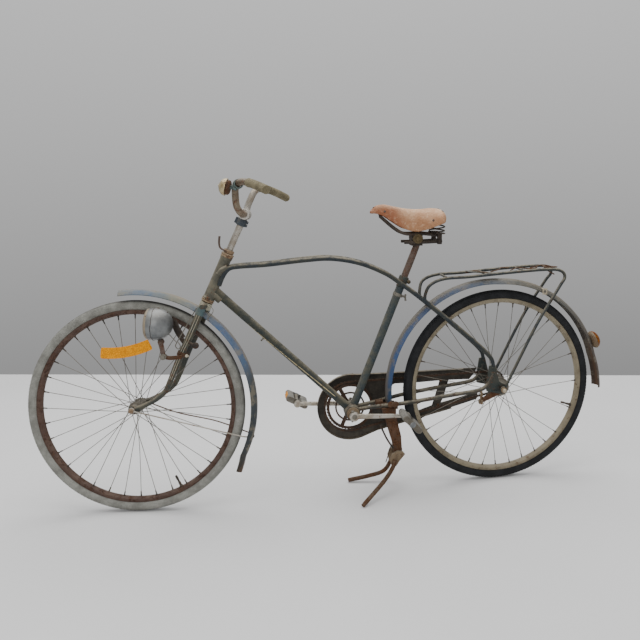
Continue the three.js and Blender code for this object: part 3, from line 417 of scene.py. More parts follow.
class Graph:
    """A material's nodes, added through one method and read as signals."""

    def __init__(self, name: str) -> None:
        """Makes a material that holds the standard shader."""
        self.material = bpy.data.materials.new(name)
        self.material.use_nodes = True
        self.tree = self.material.node_tree
        self.shader = self.tree.nodes["Principled BSDF"]
        self._place: Signal | None = None
        self._normal: Signal | None = None

    def node(self, kind: str, settings: dict, inputs: dict) -> bpy.types.Node:
        """Adds a node.

        Args:
            kind: the node's type.
            settings: what is set on it first; "stops" fills a ramp.
            inputs: values or signals by socket name or number.

        Returns:
            The node.
        """
        made = self.tree.nodes.new(kind)
        for key, value in settings.items():
            if key == "stops":
                ramp = made.color_ramp.elements
                while len(ramp) < len(value):
                    ramp.new(0.5)
                for element, (place, colour) in zip(ramp, value):
                    element.position, element.color = place, colour
            else:
                setattr(made, key, value)
        self._feed(made, inputs)
        return made

    def _feed(self, node: bpy.types.Node, inputs: dict) -> None:
        """Links signals to a node's inputs and writes plain values into them."""
        for key, value in inputs.items():
            if isinstance(value, Signal):
                self.tree.links.new(value.socket, node.inputs[key])
            else:
                node.inputs[key].default_value = value

    def out(self, kind: str, settings: dict, inputs: dict, output: int = 0) -> Signal:
        """Adds a node and returns one of its outputs."""
        return Signal(self, self.node(kind, settings, inputs).outputs[output])

    def place(self) -> Signal:
        """The point on the object, in metres."""
        if self._place is None:
            self._place = self.out("ShaderNodeTexCoord", {}, {}, 3)
        return self._place

    def axes(self) -> tuple[Signal, Signal, Signal]:
        """The point's X, Y and Z."""
        split = self.node("ShaderNodeSeparateXYZ", {}, {0: self.place()})
        return tuple(Signal(self, output) for output in split.outputs)

    def up(self) -> Signal:
        """How far the surface faces up, from -1 to 1."""
        if self._normal is None:
            normal = self.out("ShaderNodeTexCoord", {}, {}, 1)
            self._normal = self.out("ShaderNodeSeparateXYZ", {}, {0: normal}, 2)
        return self._normal

    def noise(self, scale: float, detail: float = 4.0, rough: float = 0.55,
              twist: float = 0.0) -> Signal:
        """Cloudy noise about 0.5."""
        return self.out("ShaderNodeTexNoise", {}, {"Vector": self.place(), "Scale": scale,
                                                   "Detail": detail, "Roughness": rough,
                                                   "Distortion": twist})

    def cells(self, scale: float, feature: str = "DISTANCE_TO_EDGE") -> Signal:
        """Distance to the edges of cells, for cracks and moulded prisms."""
        return self.out("ShaderNodeTexVoronoi", {"feature": feature},
                        {"Vector": self.place(), "Scale": scale})

    def mix(self, share: Signal | float, a: Signal | Colour, b: Signal | Colour) -> Signal:
        """Colour a at share 0 and b at 1."""
        return self.out("ShaderNodeMix", {"data_type": "RGBA"}, {0: share, 6: a, 7: b}, 2)

    def ramp(self, value: Signal, stops: Sequence[tuple[float, Colour]]) -> Signal:
        """Colour along a line of stops."""
        return self.out("ShaderNodeValToRGB", {"stops": stops}, {0: value})

    def relief(self, height: Signal, depth: float, strength: float = 0.6) -> Signal:
        """A bump normal from a height whose step of 1 is depth metres."""
        return self.out("ShaderNodeBump", {}, {"Height": height, "Distance": depth,
                                               "Strength": strength})

    def finish(self, inputs: dict) -> bpy.types.Material:
        """Sets the shader's inputs and returns the material."""
        self._feed(self.shader, inputs)
        return self.material


def ink(code: str) -> Colour:
    """The linear colour of a hex code."""
    def linear(c: float) -> float:
        """One channel without its display curve."""
        return c / 12.92 if c <= 0.04045 else ((c + 0.055) / 1.055) ** 2.4

    r, g, b = (linear(int(code[i : i + 2], 16) / 255) for i in (1, 3, 5))
    return (r, g, b, 1.0)


@dataclass(frozen=True)
class Weathered:
    """Painted or bare metal under years of dusting and a painted top highlight, with rust that breaks
    through.
    """

    name: str
    coat: str
    worn: str
    # The colour of dusting; on upper faces it also stands for a painted highlight.
    dust_and_highlight: str = "#8b8371"
    rust: str = "#6d4a33"
    pit: str = "#3b261a"
    # How far upper faces take that colour, as dusting and painted highlight together.
    dust_and_highlight_amount: float = 0.6
    rusty: float = 0.25
    grain: float = 55.0
    rough: float = 0.55
    metal: float = 0.0
    relief: float = 0.5
    shelf: float = 0.0

    def tone(self, graph: Graph) -> Signal:
        """The finish before dust and rust."""
        return graph.mix(graph.noise(self.grain * 0.4, 5, 0.65).between(0.38, 0.66),
                         ink(self.coat), ink(self.worn))

    def rust_mask(self, graph: Graph) -> Signal:
        """Where rust has broken through, from 0 to 1."""
        edge = 0.72 - 0.42 * self.rusty
        spread = graph.noise(self.grain, 6, 0.68, 0.4) * 0.7 + graph.noise(self.grain * 5, 3) * 0.3
        return spread.between(edge - 0.05, edge + 0.06)

    def make(self) -> bpy.types.Material:
        """Builds the material."""
        graph = Graph(self.name)
        speck = graph.noise(self.grain * 9, 4, 0.7)
        # Upper faces blend towards the dusting colour: partly real dusting, partly a painted highlight
        # where the light from above falls.
        level = graph.up().between(self.shelf, self.shelf + 0.75)
        dust_and_highlight_mask = level * graph.noise(self.grain * 0.8, 5).between(0.25, 0.6)
        tone = graph.mix(dust_and_highlight_mask * self.dust_and_highlight_amount, self.tone(graph), ink(self.dust_and_highlight))
        tone = graph.mix(speck.between(0.5, 0.8) * 0.35, tone, ink(self.dust_and_highlight))
        rust = self.rust_mask(graph)
        oxide = graph.mix(graph.noise(self.grain * 3, 5, 0.7).between(0.36, 0.66),
                          ink(self.pit), ink(self.rust))
        colour = graph.mix(rust, tone, oxide)
        height = rust * 0.6 + speck * 0.5
        return graph.finish({
            "Base Color": colour,
            "Metallic": (1 - rust) * (1 - dust_and_highlight_mask * self.dust_and_highlight_amount) * self.metal,
            "Roughness": rust * 0.3 + (speck * 0.18 + (self.rough - 0.08)),
            "Specular IOR Level": 0.5 if self.metal else 0.28,
            "Normal": graph.relief(height, 0.0006 * self.relief),
        })


@dataclass(frozen=True)
class LinedPaint(Weathered):
    """Paint with a thin pale line along a tube, drawn where a plane meets its side."""

    line: str = "#b8a983"
    slope: float = 0.0
    offset: float = 0.0
    half: float = 0.0016
    low: float = -10.0
    high: float = 10.0

    def tone(self, graph: Graph) -> Signal:
        """The paint with its line, which is broken where it has worn away."""
        x, _, z = graph.axes()
        away = abs(z - (x * self.slope + self.offset))
        worn = graph.noise(120, 4).between(0.3, 0.5)
        inside = x.between(self.low, self.low + 0.002) * (1 - x.between(self.high, self.high + 0.002))
        mask = (1 - away.between(self.half, self.half * 1.5)) * worn * inside
        return graph.mix(mask, super().tone(graph), ink(self.line))


@dataclass(frozen=True)
class GuardPaint(Weathered):
    """A mudguard's paint, which changes along the wheel and from crown to edge."""

    centre_x: float = 0.0
    centre_z: float = 0.35
    middle_y: float | None = None
    sides: tuple[tuple[float, str], ...] = ()
    crowns: tuple[tuple[float, str], ...] = ()

    def tone(self, graph: Graph) -> Signal:
        """The side's colour and the crown's, each from its stops of degrees."""
        x, y, z = graph.axes()
        dx, dz = x - self.centre_x, z - self.centre_z
        angle = graph.out("ShaderNodeMath", {"operation": "ARCTAN2"}, {0: dz, 1: dx})
        turned = graph.out("ShaderNodeMath", {"operation": "WRAP"},
                           {0: angle + graph.noise(9, 3) * 0.5 - 0.25, 1: 6.0, 2: -0.2832})
        share = turned * (1 / 6.2832) + 0.05
        away = (dx * dx + dz * dz).root()
        fray = graph.noise(30, 5, 0.7) * 0.008
        if self.middle_y is None:
            crown = (away + fray).between(0.3835, 0.3925)
        else:
            crown = 1 - (abs(y - self.middle_y) + fray).between(0.0145, 0.0275)

        def stops(pairs: Sequence[tuple[float, str]]) -> list[tuple[float, Colour]]:
            """Ramp stops from degrees."""
            return [(d / 360 + 0.05, ink(code)) for d, code in pairs]

        blotch = graph.noise(24, 6, 0.7).between(0.5, 0.62) * 0.55
        side = graph.mix(blotch, graph.ramp(share, stops(self.sides)), ink(self.dust_and_highlight))
        return graph.mix(crown * 0.9, side, graph.ramp(share, stops(self.crowns)))


@dataclass(frozen=True)
class Rubber:
    """Old rubber: tyres, pedal blocks and grips."""

    name: str
    base: str
    light: str
    dirt: str
    tread_from: float = 9.0
    centre_x: float = 0.0
    tread: str = "#2a2927"
    crack: float = 0.5

    def make(self) -> bpy.types.Material:
        """Builds the material, darker past the tread's radius if it is a tyre's."""
        graph = Graph(self.name)
        x, _, z = graph.axes()
        mottle = graph.noise(30, 6, 0.7)
        colour = graph.mix(mottle.between(0.35, 0.65), ink(self.base), ink(self.light))
        fine = graph.noise(260, 5, 0.75)
        colour = graph.mix(fine.between(0.52, 0.72) * 0.6, colour, ink(self.dirt))
        cracks = 1 - graph.cells(330).between(0.0, 0.06)
        colour = graph.mix(cracks * self.crack * graph.noise(18, 3).between(0.45, 0.6), colour,
                           ink(self.tread))
        if self.tread_from < 1:
            dx, dz = x - self.centre_x, z - 0.35
            away = (dx * dx + dz * dz).root()
            edge = (away + graph.noise(70, 5, 0.7) * 0.006).between(
                self.tread_from + 0.001, self.tread_from + 0.006)
            colour = graph.mix(edge * 0.85, colour, ink(self.tread))
        return graph.finish({
            "Base Color": colour,
            "Roughness": fine * 0.2 + 0.72,
            "Specular IOR Level": 0.25,
            "Normal": graph.relief(fine * 0.5 - cracks * self.crack, 0.0005),
        })


@dataclass(frozen=True)
class Hide:
    """The saddle's dry leather: pale on top, darker orange-brown lower down and towards its nose."""

    name: str = "saddle_hide"

    def make(self) -> bpy.types.Material:
        """Builds the material."""
        graph = Graph(self.name)
        x, _, z = graph.axes()
        sweep = graph.noise(16, 5, 0.6)
        pale = graph.mix(sweep.between(0.35, 0.65), ink("#c09672"), ink("#d6b592"))
        low = 1 - (z + sweep * 0.03).between(0.955, 1.015)
        colour = graph.mix(low * 0.8, pale, ink("#94623e"))
        front = (x + sweep * 0.06).between(-0.225, -0.165)
        colour = graph.mix(front * (1 - (z + sweep * 0.02).between(0.992, 1.03)) * 0.85, colour,
                           ink("#86492a"))
        streak = graph.noise(70, 6, 0.72, 0.6)
        colour = graph.mix(streak.between(0.5, 0.75) * 0.4, colour, ink("#8d5a37"))
        colour = graph.mix(streak.between(0.5, 0.25) * 0.35, colour, ink("#ead0b0"))
        crease = 1 - graph.cells(210).between(0.0, 0.09)
        dark = crease * graph.noise(25, 4).between(0.46, 0.62)
        colour = graph.mix(dark * 0.35, colour, ink("#6f4426"))
        pore = graph.noise(700, 3, 0.6)
        return graph.finish({
            "Base Color": colour,
            "Roughness": streak * 0.25 + 0.5,
            "Specular IOR Level": 0.35,
            "Normal": graph.relief(pore * 0.5 - crease * 0.5 + streak * 0.4, 0.0006),
        })


@dataclass(frozen=True)
class Plastic:
    """Amber plastic with moulded prisms behind its face, old scratches and a painted glow."""

    name: str
    deep: str
    clear: str
    dirt: str
    prism: float = 260.0
    painted_glow: float = 0.12
    dirty: float = 0.25

    def make(self) -> bpy.types.Material:
        """Builds the material."""
        graph = Graph(self.name)
        prism = graph.cells(self.prism, "F1")
        colour = graph.mix(prism.between(0.1, 0.7), ink(self.clear), ink(self.deep))
        grime = graph.noise(45, 6, 0.7).between(0.52, 0.68)
        crack = (1 - graph.cells(48).between(0.0, 0.03)) * graph.noise(20, 2).between(0.45, 0.6)
        colour = graph.mix(grime.over(crack) * self.dirty, colour, ink(self.dirt))
        return graph.finish({
            "Base Color": colour,
            "Roughness": grime * 0.35 + 0.22,
            "Coat Weight": (1 - grime) * 0.04,
            "Specular IOR Level": 0.08,
            # The emission is a painted glow: these parts shine though no light is inside them.
            "Emission Color": colour,
            "Emission Strength": self.painted_glow,
            "Normal": graph.relief(prism - crack, 0.0005),
        })


class Finish(Enum):
    """Every finish on the bicycle, with the record's material slot that it belongs to."""

    # Each finish's dusting amount also sets how much painted highlight its upper faces get.
    FRAME = (Weathered("frame_paint", "#21292f", "#31342f", dust_and_highlight="#797262", rusty=0.14, dust_and_highlight_amount=0.95,
                       shelf=0.1), "frame_paint")
    SEAT_TUBE = (LinedPaint("seat_tube_paint", "#29353b", "#3e413a", rusty=0.18, dust_and_highlight_amount=0.6),
                 "frame_paint")
    DOWN_TUBE = (LinedPaint("down_tube_paint", "#272f2f", "#3d3d31", rusty=0.18, dust_and_highlight_amount=0.8,
                            dust_and_highlight="#736c5b", slope=0.9113, offset=0.3469, low=0.0, high=0.31,
                            half=0.0014), "frame_paint")
    HEAD = (Weathered("head_paint", "#48473e", "#656152", rusty=0.3, dust_and_highlight_amount=0.9), "frame_paint")
    DROPOUT = (Weathered("dropout_paint", "#252e2d", "#363731", rusty=0.34, dust_and_highlight_amount=0.5),
               "frame_paint")
    STAY = (Weathered("stay_paint", "#343430", "#4a4439", rusty=0.36, dust_and_highlight_amount=0.7, rust="#544236"),
            "frame_paint")
    FORK = (Weathered("fork_paint", "#313532", "#4b4a3e", rusty=0.36, dust_and_highlight_amount=0.75), "frame_paint")
    BAND = (Weathered("crown_band_paint", "#3f5358", "#52605d", rusty=0.15, dust_and_highlight_amount=0.5),
            "frame_paint")
    CARRIER = (Weathered("carrier_paint", "#252d32", "#323530", rusty=0.3, dust_and_highlight_amount=0.7,
                         rust="#49372a"), "blue_paint")
    REAR_GUARD = (GuardPaint(
        "rear_guard_paint", "#385170", "#515a61", rusty=0.2, dust_and_highlight_amount=0.35, rust="#664b39",
        dust_and_highlight="#716a5d", centre_x=-0.5904, middle_y=-0.0109,
        sides=((-5, "#2c415a"), (20, "#314d76"), (45, "#384e71"), (75, "#40526a"),
               (100, "#5a5a54"), (135, "#4d4d4a"), (165, "#41352e"), (184, "#3d3026")),
        crowns=((-5, "#5a5551"), (30, "#6b655a"), (80, "#6d6961"), (115, "#726a5c"),
                (145, "#5a5551"), (165, "#5e4937"), (184, "#533a27"))), "blue_paint")
    FRONT_GUARD = (GuardPaint(
        "front_guard_paint", "#405b79", "#5c6569", rusty=0.2, dust_and_highlight_amount=0.3, rust="#78583d",
        dust_and_highlight="#817966", centre_x=0.6477,
        sides=((80, "#586571"), (95, "#496079"), (108, "#66685d"), (122, "#536371"),
               (135, "#3a5980"), (152, "#445974"), (168, "#3a4147"), (195, "#2d3438"),
               (214, "#302922")),
        crowns=((80, "#8a7d66"), (110, "#827664"), (135, "#7f7564"), (160, "#796b58"),
                (175, "#4e504d"), (200, "#3b4042"), (214, "#4d3727"))), "blue_paint")
    CHROME = (Weathered("old_chrome", "#b5b0a6", "#8f8474", rusty=0.3, dust_and_highlight_amount=0.3, metal=0.85,
                        rough=0.36, rust="#835536", relief=0.3), "chrome")
    WHITE_CHROME = (Weathered("pale_chrome", "#a9a59d", "#8e8476", rusty=0.26, dust_and_highlight_amount=0.2,
                              metal=0.7, rough=0.38, rust="#815b40", relief=0.3), "chrome")
    BROWN_CHROME = (Weathered("brown_chrome", "#7c705f", "#5f5142", rusty=0.42, dust_and_highlight_amount=0.5,
                              metal=0.55, rough=0.45, rust="#76543a"), "chrome")
    LAMP = (Weathered("lamp_shell", "#7f8181", "#5c5f62", rusty=0.08, dust_and_highlight_amount=0.2, metal=0.75,
                      rough=0.36, grain=34, relief=1.2), "chrome")
    LENS_RIM = (Weathered("lamp_rim", "#918572", "#796d5c", rusty=0.3, dust_and_highlight_amount=0.4, metal=0.4),
                "chrome")
    NUT = (Weathered("pale_nut", "#c6bda9", "#9f937d", rusty=0.3, dust_and_highlight_amount=0.3, metal=0.3), "chrome")
    CREAM = (Weathered("crown_cream", "#a29f8d", "#8d8876", rusty=0.12, dust_and_highlight_amount=0.4), "cream_rim")
    NAVY = (Weathered("clamp_navy", "#2b333d", "#3d444a", rusty=0.2, dust_and_highlight_amount=0.3), "frame_paint")
    RUST = (Weathered("stand_rust", "#4a3526", "#5a402e", dust_and_highlight="#645a4b", rusty=0.5, dust_and_highlight_amount=0.45,
                      rust="#62422b", rough=0.75), "rusty_iron")
    CASTING = (Weathered("casting_rust", "#695845", "#7c6b55", dust_and_highlight="#8e836e", rusty=0.35,
                         dust_and_highlight_amount=0.75, rust="#6e4f37", rough=0.75), "rusty_iron")
    HEADSET = (Weathered("headset_rust", "#7f6850", "#958165", dust_and_highlight="#9c907a", rusty=0.42,
                         dust_and_highlight_amount=0.5, rust="#70503a", rough=0.6, metal=0.3), "rusty_iron")
    IRON = (Weathered("dark_iron", "#2a2420", "#3d332b", dust_and_highlight="#6a5e4f", rusty=0.3, dust_and_highlight_amount=0.3,
                      rust="#5b3f2b", rough=0.6), "dark_iron")
    POST = (Weathered("post_iron", "#4c3d33", "#64534a", dust_and_highlight="#7b6c5c", rusty=0.4, dust_and_highlight_amount=0.25,
                      rust="#66432e", rough=0.5, metal=0.3), "dark_iron")
    GUARD = (Weathered("chain_guard_paint", "#2f2c28", "#423d36", dust_and_highlight="#7a705f", rusty=0.22,
                       dust_and_highlight_amount=0.85, rust="#4a3e32", rough=0.65), "dark_iron")
    CHAIN = (Weathered("chain_rust", "#31251d", "#4a3728", dust_and_highlight="#514538", rusty=0.5, dust_and_highlight_amount=0.2,
                       rust="#483525", rough=0.7, metal=0.3), "dark_iron")
    STEEL = (Weathered("dull_steel", "#77736a", "#5d574d", dust_and_highlight="#8a8272", rusty=0.25, dust_and_highlight_amount=0.3,
                       metal=0.6, rough=0.5), "dull_steel")
    SPOKE = (Weathered("spoke_zinc", "#6f6b62", "#4c4840", dust_and_highlight="#8a8378", rusty=0.2, dust_and_highlight_amount=0.4,
                       metal=0.5, rough=0.5), "dull_steel")
    NIPPLE = (Weathered("nipple_dark", "#26221e", "#3a2f26", rusty=0.3, dust_and_highlight_amount=0.2), "dark_iron")
    BROWN_RIM = (Weathered("brown_rim", "#483730", "#57443a", dust_and_highlight="#66584e", rusty=0.45,
                           dust_and_highlight_amount=0.3, rust="#563f33", pit="#33251f", rough=0.7), "brown_rim")
    CREAM_RIM = (Weathered("cream_rim", "#847b67", "#6d6452", dust_and_highlight="#948b78", rusty=0.3,
                           dust_and_highlight_amount=0.3, rust="#664a31", rough=0.55), "cream_rim")
    BRASS = (Weathered("bell_brass", "#bfb08c", "#8f7850", dust_and_highlight="#cbbd98", rusty=0.3, dust_and_highlight_amount=0.3,
                       metal=0.8, rough=0.32, rust="#6a3a24", relief=0.2), "brass")
    BOLT_BRASS = (Weathered("bolt_brass", "#5f5034", "#4a3f2c", rusty=0.2, dust_and_highlight_amount=0.3, metal=0.6),
                  "brass")
    GREY_TYRE = (Rubber("grey_tyre", "#75746e", "#8f8f88", "#5f5d56", tread_from=0.3445,
                        centre_x=0.6477, tread="#42403b"), "grey_rubber")
    BLACK_TYRE = (Rubber("black_tyre", "#17181a", "#232426", "#33322f", crack=0.2), "black_rubber")
    BLOCK = (Rubber("pedal_block", "#6d6b65", "#84817a", "#57544d"), "grey_rubber")
    GRIP = (Rubber("grip_rubber", "#665e48", "#7e755d", "#4b4639"), "grip")
    HIDE = (Hide(), "leather")
    # The glow values below are painted light: neither part is lit from inside here.
    REFLECTOR = (Plastic("reflector_amber", "#c87c00", "#eda000", "#8a5606", painted_glow=0.14), "amber")
    TAIL = (Plastic("tail_lamp_amber", "#5e320e", "#885317", "#3e2717", prism=150, painted_glow=0.03,
                    dirty=0.8), "lamp_amber")

    def __init__(self, recipe: object, slot: str) -> None:
        """Keeps the recipe and the record's slot."""
        self.recipe = recipe
        self.slot = slot
        self.made: bpy.types.Material | None = None

    def material(self) -> bpy.types.Material:
        """The material, built the first time it is asked for."""
        if self.made is None:
            self.made = self.recipe.make()
        return self.made


class Assembly:
    """What turns forms into pieces; each sub-assembly names the body that most of them ride on."""

    body: str
    made: ClassVar[list[str]] = []
    used: ClassVar[set[str]] = set()

    def piece(self, name: str, form: Form, finish: Finish, body: str = "",
              replaces: Sequence[str] = (), bevel: float = 0.0, crisp: float = 38.0,
              levels: int = 0) -> None:
        """Makes a piece.

        Args:
            name: the piece's name.
            form: its shape in millimetres.
            finish: what it is made of.
            body: the body it rides on, if that isn't the sub-assembly's own.
            replaces: the solids it stands for.
            bevel: how far its sharp edges are eased, in millimetres.
            crisp: edges sharper than this angle stay sharp.
            levels: rounds of subdivision.
        """
        body = body or self.body
        mesh = bpy.data.meshes.new(name)
        mesh.from_pydata(form.points, [], form.faces)
        mesh.transform(LAYOUT.matrix(body))
        bm = bmesh.new()
        bm.from_mesh(mesh)
        bmesh.ops.remove_doubles(bm, verts=bm.verts, dist=1e-6)
        bmesh.ops.recalc_face_normals(bm, faces=bm.faces)
        bm.to_mesh(mesh)
        bm.free()
        mesh.shade_smooth()
        mesh.set_sharp_from_angle(angle=crisp * DEG)
        mesh.materials.append(finish.material())
        made = placed(name, mesh)
        if bevel:
            self._ease(made, bevel)
        if levels:
            rounded = made.modifiers.new("rounded", "SUBSURF")
            rounded.levels = rounded.render_levels = levels
        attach(made, body)
        if replaces:
            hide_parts(*replaces)
            self.used.update(replaces)
        self.made.append(name)
        LOG.info("piece %s: %d faces, rides on %s", name, len(mesh.polygons), body)

    @staticmethod
    def _ease(made: bpy.types.Object, width: float) -> None:
        """Rounds the sharp edges of an object by a width in millimetres."""
        ease = made.modifiers.new("eased", "BEVEL")
        ease.width, ease.segments = width / 1000, 2
        ease.limit_method, ease.angle_limit = "ANGLE", 40 * DEG
        ease.harden_normals = False

    def dress(self, node: str, finish: Finish, bevel: float = 0.0) -> None:
        """Gives a solid that is shown its finish, and eases its edges."""
        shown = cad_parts[node]
        shown.data.materials.clear()
        shown.data.materials.append(finish.material())
        shown.data.shade_smooth()
        shown.data.set_sharp_from_angle(angle=38 * DEG)
        weld = shown.modifiers.new("joined", "WELD")
        weld.merge_threshold = 2e-5
        if bevel:
            self._ease(shown, bevel)
        self.used.add(node)
        LOG.info("solid %s shown as %s", node, finish.name.lower())


@dataclass
class Studio:
    """Camera, pale floor, grey backdrop and soft lights."""

    place: tuple[float, float, float] = (848.8, 2362.6, 1084.1)
    yaw: float = -0.212
    pitch: float = -0.138
    roll: float = 0.0014
    lens: float = 39.6765
    shift: tuple[float, float] = (-0.13412, -0.06458)
    floor_reach: float = 3.86
    floor_spread: float = 14.0
    floor_near: float = -9.0
    wall_heights: tuple[float, float] = (-0.28, 0.26)
    wall_greys: tuple[float, float] = (0.284, 0.70)

    def camera(self) -> None:
        """The camera at the photograph's place and angle."""
        forward = Vector((math.sin(self.yaw) * math.cos(self.pitch),
                          -math.cos(self.yaw) * math.cos(self.pitch), math.sin(self.pitch)))
        right = forward.cross(Vector((0, 0, 1))).normalized()
        up = right.cross(forward)
        c, s = math.cos(self.roll), math.sin(self.roll)
        right, up = right * c + up * s, up * c - right * s
        data = bpy.data.cameras.new("camera")
        data.lens, data.sensor_width = self.lens, 36.0
        data.shift_x, data.shift_y = self.shift
        data.clip_end = 200
        made = placed("camera", data)
        turn = Matrix((right, up, -forward)).transposed().to_4x4()
        made.matrix_world = Matrix.Translation(LAYOUT.row() @ Vector(self.place)) @ turn
        bpy.context.scene.camera = made

    def floor(self) -> None:
        """A pale floor whose far edge makes the line behind the bicycle."""
        foot = LAYOUT.row() @ Vector(self.place)
        ahead = Vector((math.sin(self.yaw), -math.cos(self.yaw), 0))
        aside = Vector((-ahead.y, ahead.x, 0))
        corners = []
        far, near, wide = self.floor_reach, self.floor_near, self.floor_spread
        for forward, side in ((far, -wide), (far, wide), (near, wide), (near, -wide)):
            spot = Vector((foot.x, foot.y, 0)) + ahead * forward + aside * side
            corners.append((spot.x, spot.y, 0))
        mesh = bpy.data.meshes.new("studio_floor")
        mesh.from_pydata(corners, [], [(0, 1, 2, 3)])
        graph = Graph("floor_paper")
        tone = graph.mix(graph.noise(1.1, 2).between(0.3, 0.7), (0.68, 0.68, 0.68, 1),
                         (0.72, 0.72, 0.72, 1))
        mesh.materials.append(graph.finish({"Base Color": tone, "Roughness": 0.85}))
        placed("studio_floor", mesh)

    def lights(self) -> None:
        """A wide soft light above, a weaker one beside the camera, and the grey room."""
        for name, place, target, size, power in (
            ("top_light", (0.0, -0.5, 3.6), (0, 0, 0.3), 4.5, 160),
            ("fill_light", (1.2, 4.2, 2.2), (0, 0, 0.5), 3.0, 42),
        ):
            data = bpy.data.lights.new(name, "AREA")
            data.size, data.energy = size, power
            made = placed(name, data)
            made.location = place
            made.rotation_mode = "QUATERNION"
            made.rotation_quaternion = (Vector(target) - Vector(place)).to_track_quat("-Z", "Y")
        world = bpy.data.worlds.new("grey_room")
        bpy.context.scene.world = world
        world.use_nodes = True
        tree = world.node_tree
        background = tree.nodes["Background"]
        where = tree.nodes.new("ShaderNodeTexCoord")
        split = tree.nodes.new("ShaderNodeSeparateXYZ")
        span = tree.nodes.new("ShaderNodeMapRange")
        ramp = tree.nodes.new("ShaderNodeValToRGB")
        span.inputs[1].default_value, span.inputs[2].default_value = self.wall_heights
        for element, grey in zip(ramp.color_ramp.elements, self.wall_greys):
            element.color = (grey, grey, grey * 1.003, 1)
        tree.links.new(where.outputs["Generated"], split.inputs[0])
        tree.links.new(split.outputs[2], span.inputs[0])
        tree.links.new(span.outputs[0], ramp.inputs[0])
        tree.links.new(ramp.outputs[0], background.inputs[0])
        background.inputs[1].default_value = 1.0

    def build(self) -> None:
        """Sets up the whole studio."""
        self.camera()
        self.floor()
        self.lights()


@dataclass
class Wheel(Assembly):
    """A tyre, rim, hub, spokes with their nipples, and a valve."""

    body: str
    axle: Point
    tyre_finish: Finish
    rim_finish: Finish
    hub_profile: Sequence[tuple[float, float]]
    flange: float
    groove: float
    valve_angle: float
    missing: tuple[float, float] = (0, 0)
    tyre_middle: float = 333.0
    tyre_tall: float = 16.5
    tyre_wide: float = 19.0
    spokes_on_rim: int = 36
    spoke_cross: float = 60.0
    spoke_reach: float = 301.9
    bent_share: float = 0.2
    random_seed: int = 7

    def tyre(self) -> Form:
        """The tyre with ribs and cross cuts in its tread."""
        segments, ring = 720, 40
        turn = np.linspace(0, 2 * math.pi, segments, endpoint=False)[:, None]
        phi = np.linspace(-math.pi, math.pi, ring, endpoint=False)[None, :]
        step = np.abs(np.round(phi / (2 * math.pi / ring))).astype(int)
        depth = np.where(step == 2, self.groove, 0.0) * np.ones_like(turn)
        cut = (np.arange(segments) % 4 == 0)[:, None] & (step >= 3) & (step <= 5)
        depth = np.where(cut, self.groove, depth)
        lean = np.cos(phi)
        radius = self.tyre_middle + self.tyre_tall * np.sign(lean) * np.abs(lean) ** 0.92 - depth
        side = self.tyre_wide * np.sin(phi) * np.ones_like(turn)
        rows = np.stack([self.axle[0] + radius * np.cos(turn), side,
                         self.axle[2] + radius * np.sin(turn)], axis=2)
        form = Form()
        form.grid(rows, around=True, loop=True)
        return form

    def rim(self) -> Form:
        """The rim with its hooked edges and a bead on each side."""
        profile = both_ways((315.2, 0), (316.2, 10.6), (319.0, 11.4), (319.6, 12.4), (318.6, 13.2),
                            (312.6, 13.3), (311.4, 12.7), (310.4, 13.1), (308.6, 12.0), (307.0, 9.4),
                            (304.6, 6.0), (303.2, 3.0), (303.0, 0))
        return Form().lathe(profile, self.axle, ACROSS, 240, loop=True)

    def spoke_lines(self) -> list[tuple[Point, Point, float]]:
        """Each spoke's hub end, rim end and side."""
        lines = []
        pitch = 360 / (self.spokes_on_rim / 2)
        for side in (-1, 1):
            for k in range(self.spokes_on_rim // 2):
                rim_angle = k * pitch + (0 if side > 0 else pitch / 2)
                if side < 0 and self.missing[0] < rim_angle < self.missing[1]:
                    continue
                lead = 1 if k % 2 else -1
                hub_angle = (rim_angle + lead * self.spoke_cross) * DEG
                r, far = self.flange - 4, self.spoke_reach
                a = rim_angle * DEG
                lines.append((
                    self.axle + vec(r * math.cos(hub_angle), side * (27 + lead * 1.5),
                                    r * math.sin(hub_angle)),
                    self.axle + vec(far * math.cos(a), side * 3, far * math.sin(a)), side))
        return lines

    def build(self) -> None:
        """Makes the wheel's pieces."""
        self.piece(f"{self.body}_tyre_cover", self.tyre(), self.tyre_finish,
                   replaces=[f"{self.body}_tyre"], crisp=30)
        self.piece(f"{self.body}_rim_hoop", self.rim(), self.rim_finish,
                   replaces=[f"{self.body}_rim"])
        spokes, nipples = Form(), Form()
        bend = np.random.default_rng(self.random_seed)
        for start, end, side in self.spoke_lines():
            along = unit(end - start)
            sag = vec(*bend.normal(0, 1, 3)) * (2.4 if bend.random() < self.bent_share else 0.4)
            middle = (start + end) / 2 + sag - along * (sag @ along)
            head = start - vec(0, side * 2.6, 0)
            spokes.sweep([head, start, *spline([start + along * 3, middle, end], 60)], 1.05, 8)
            spokes.dome(start + vec(0, side * 1.0, 0), vec(0, side, 0), 2.0, 1.0)
            nipples.lathe([(1.5, 0), (2.0, 1.5), (2.1, 11), (2.9, 12), (2.9, 15.5), (1.9, 16.5)],
                          end - along * 13.5, along, 10)
        self.piece(f"{self.body}_spokes", spokes, Finish.SPOKE,
                   replaces=[f"{self.body}_hub_and_spokes"])
        self.piece(f"{self.body}_nipples", nipples, Finish.NIPPLE)
        hub = Form().lathe(self.hub_profile, self.axle, ACROSS, 48)
        self.piece(f"{self.body}_hub", hub, Finish.STEEL, crisp=30)
        self.valve()

    def valve(self) -> None:
        """The valve with its cap and rim nut."""
        a = self.valve_angle * DEG
        inward = vec(-math.cos(a), 0, -math.sin(a))
        base = self.axle - inward * 303
        form = Form().lathe([(7, -2), (7, 1.5), (4.2, 3), (4.2, 14), (3.2, 16), (3.2, 24),
                             (4.0, 25), (4.0, 36), (3.0, 39), (1.0, 40)], base, inward, 16)
        self.piece(f"{self.body}_valve", form, Finish.NIPPLE)


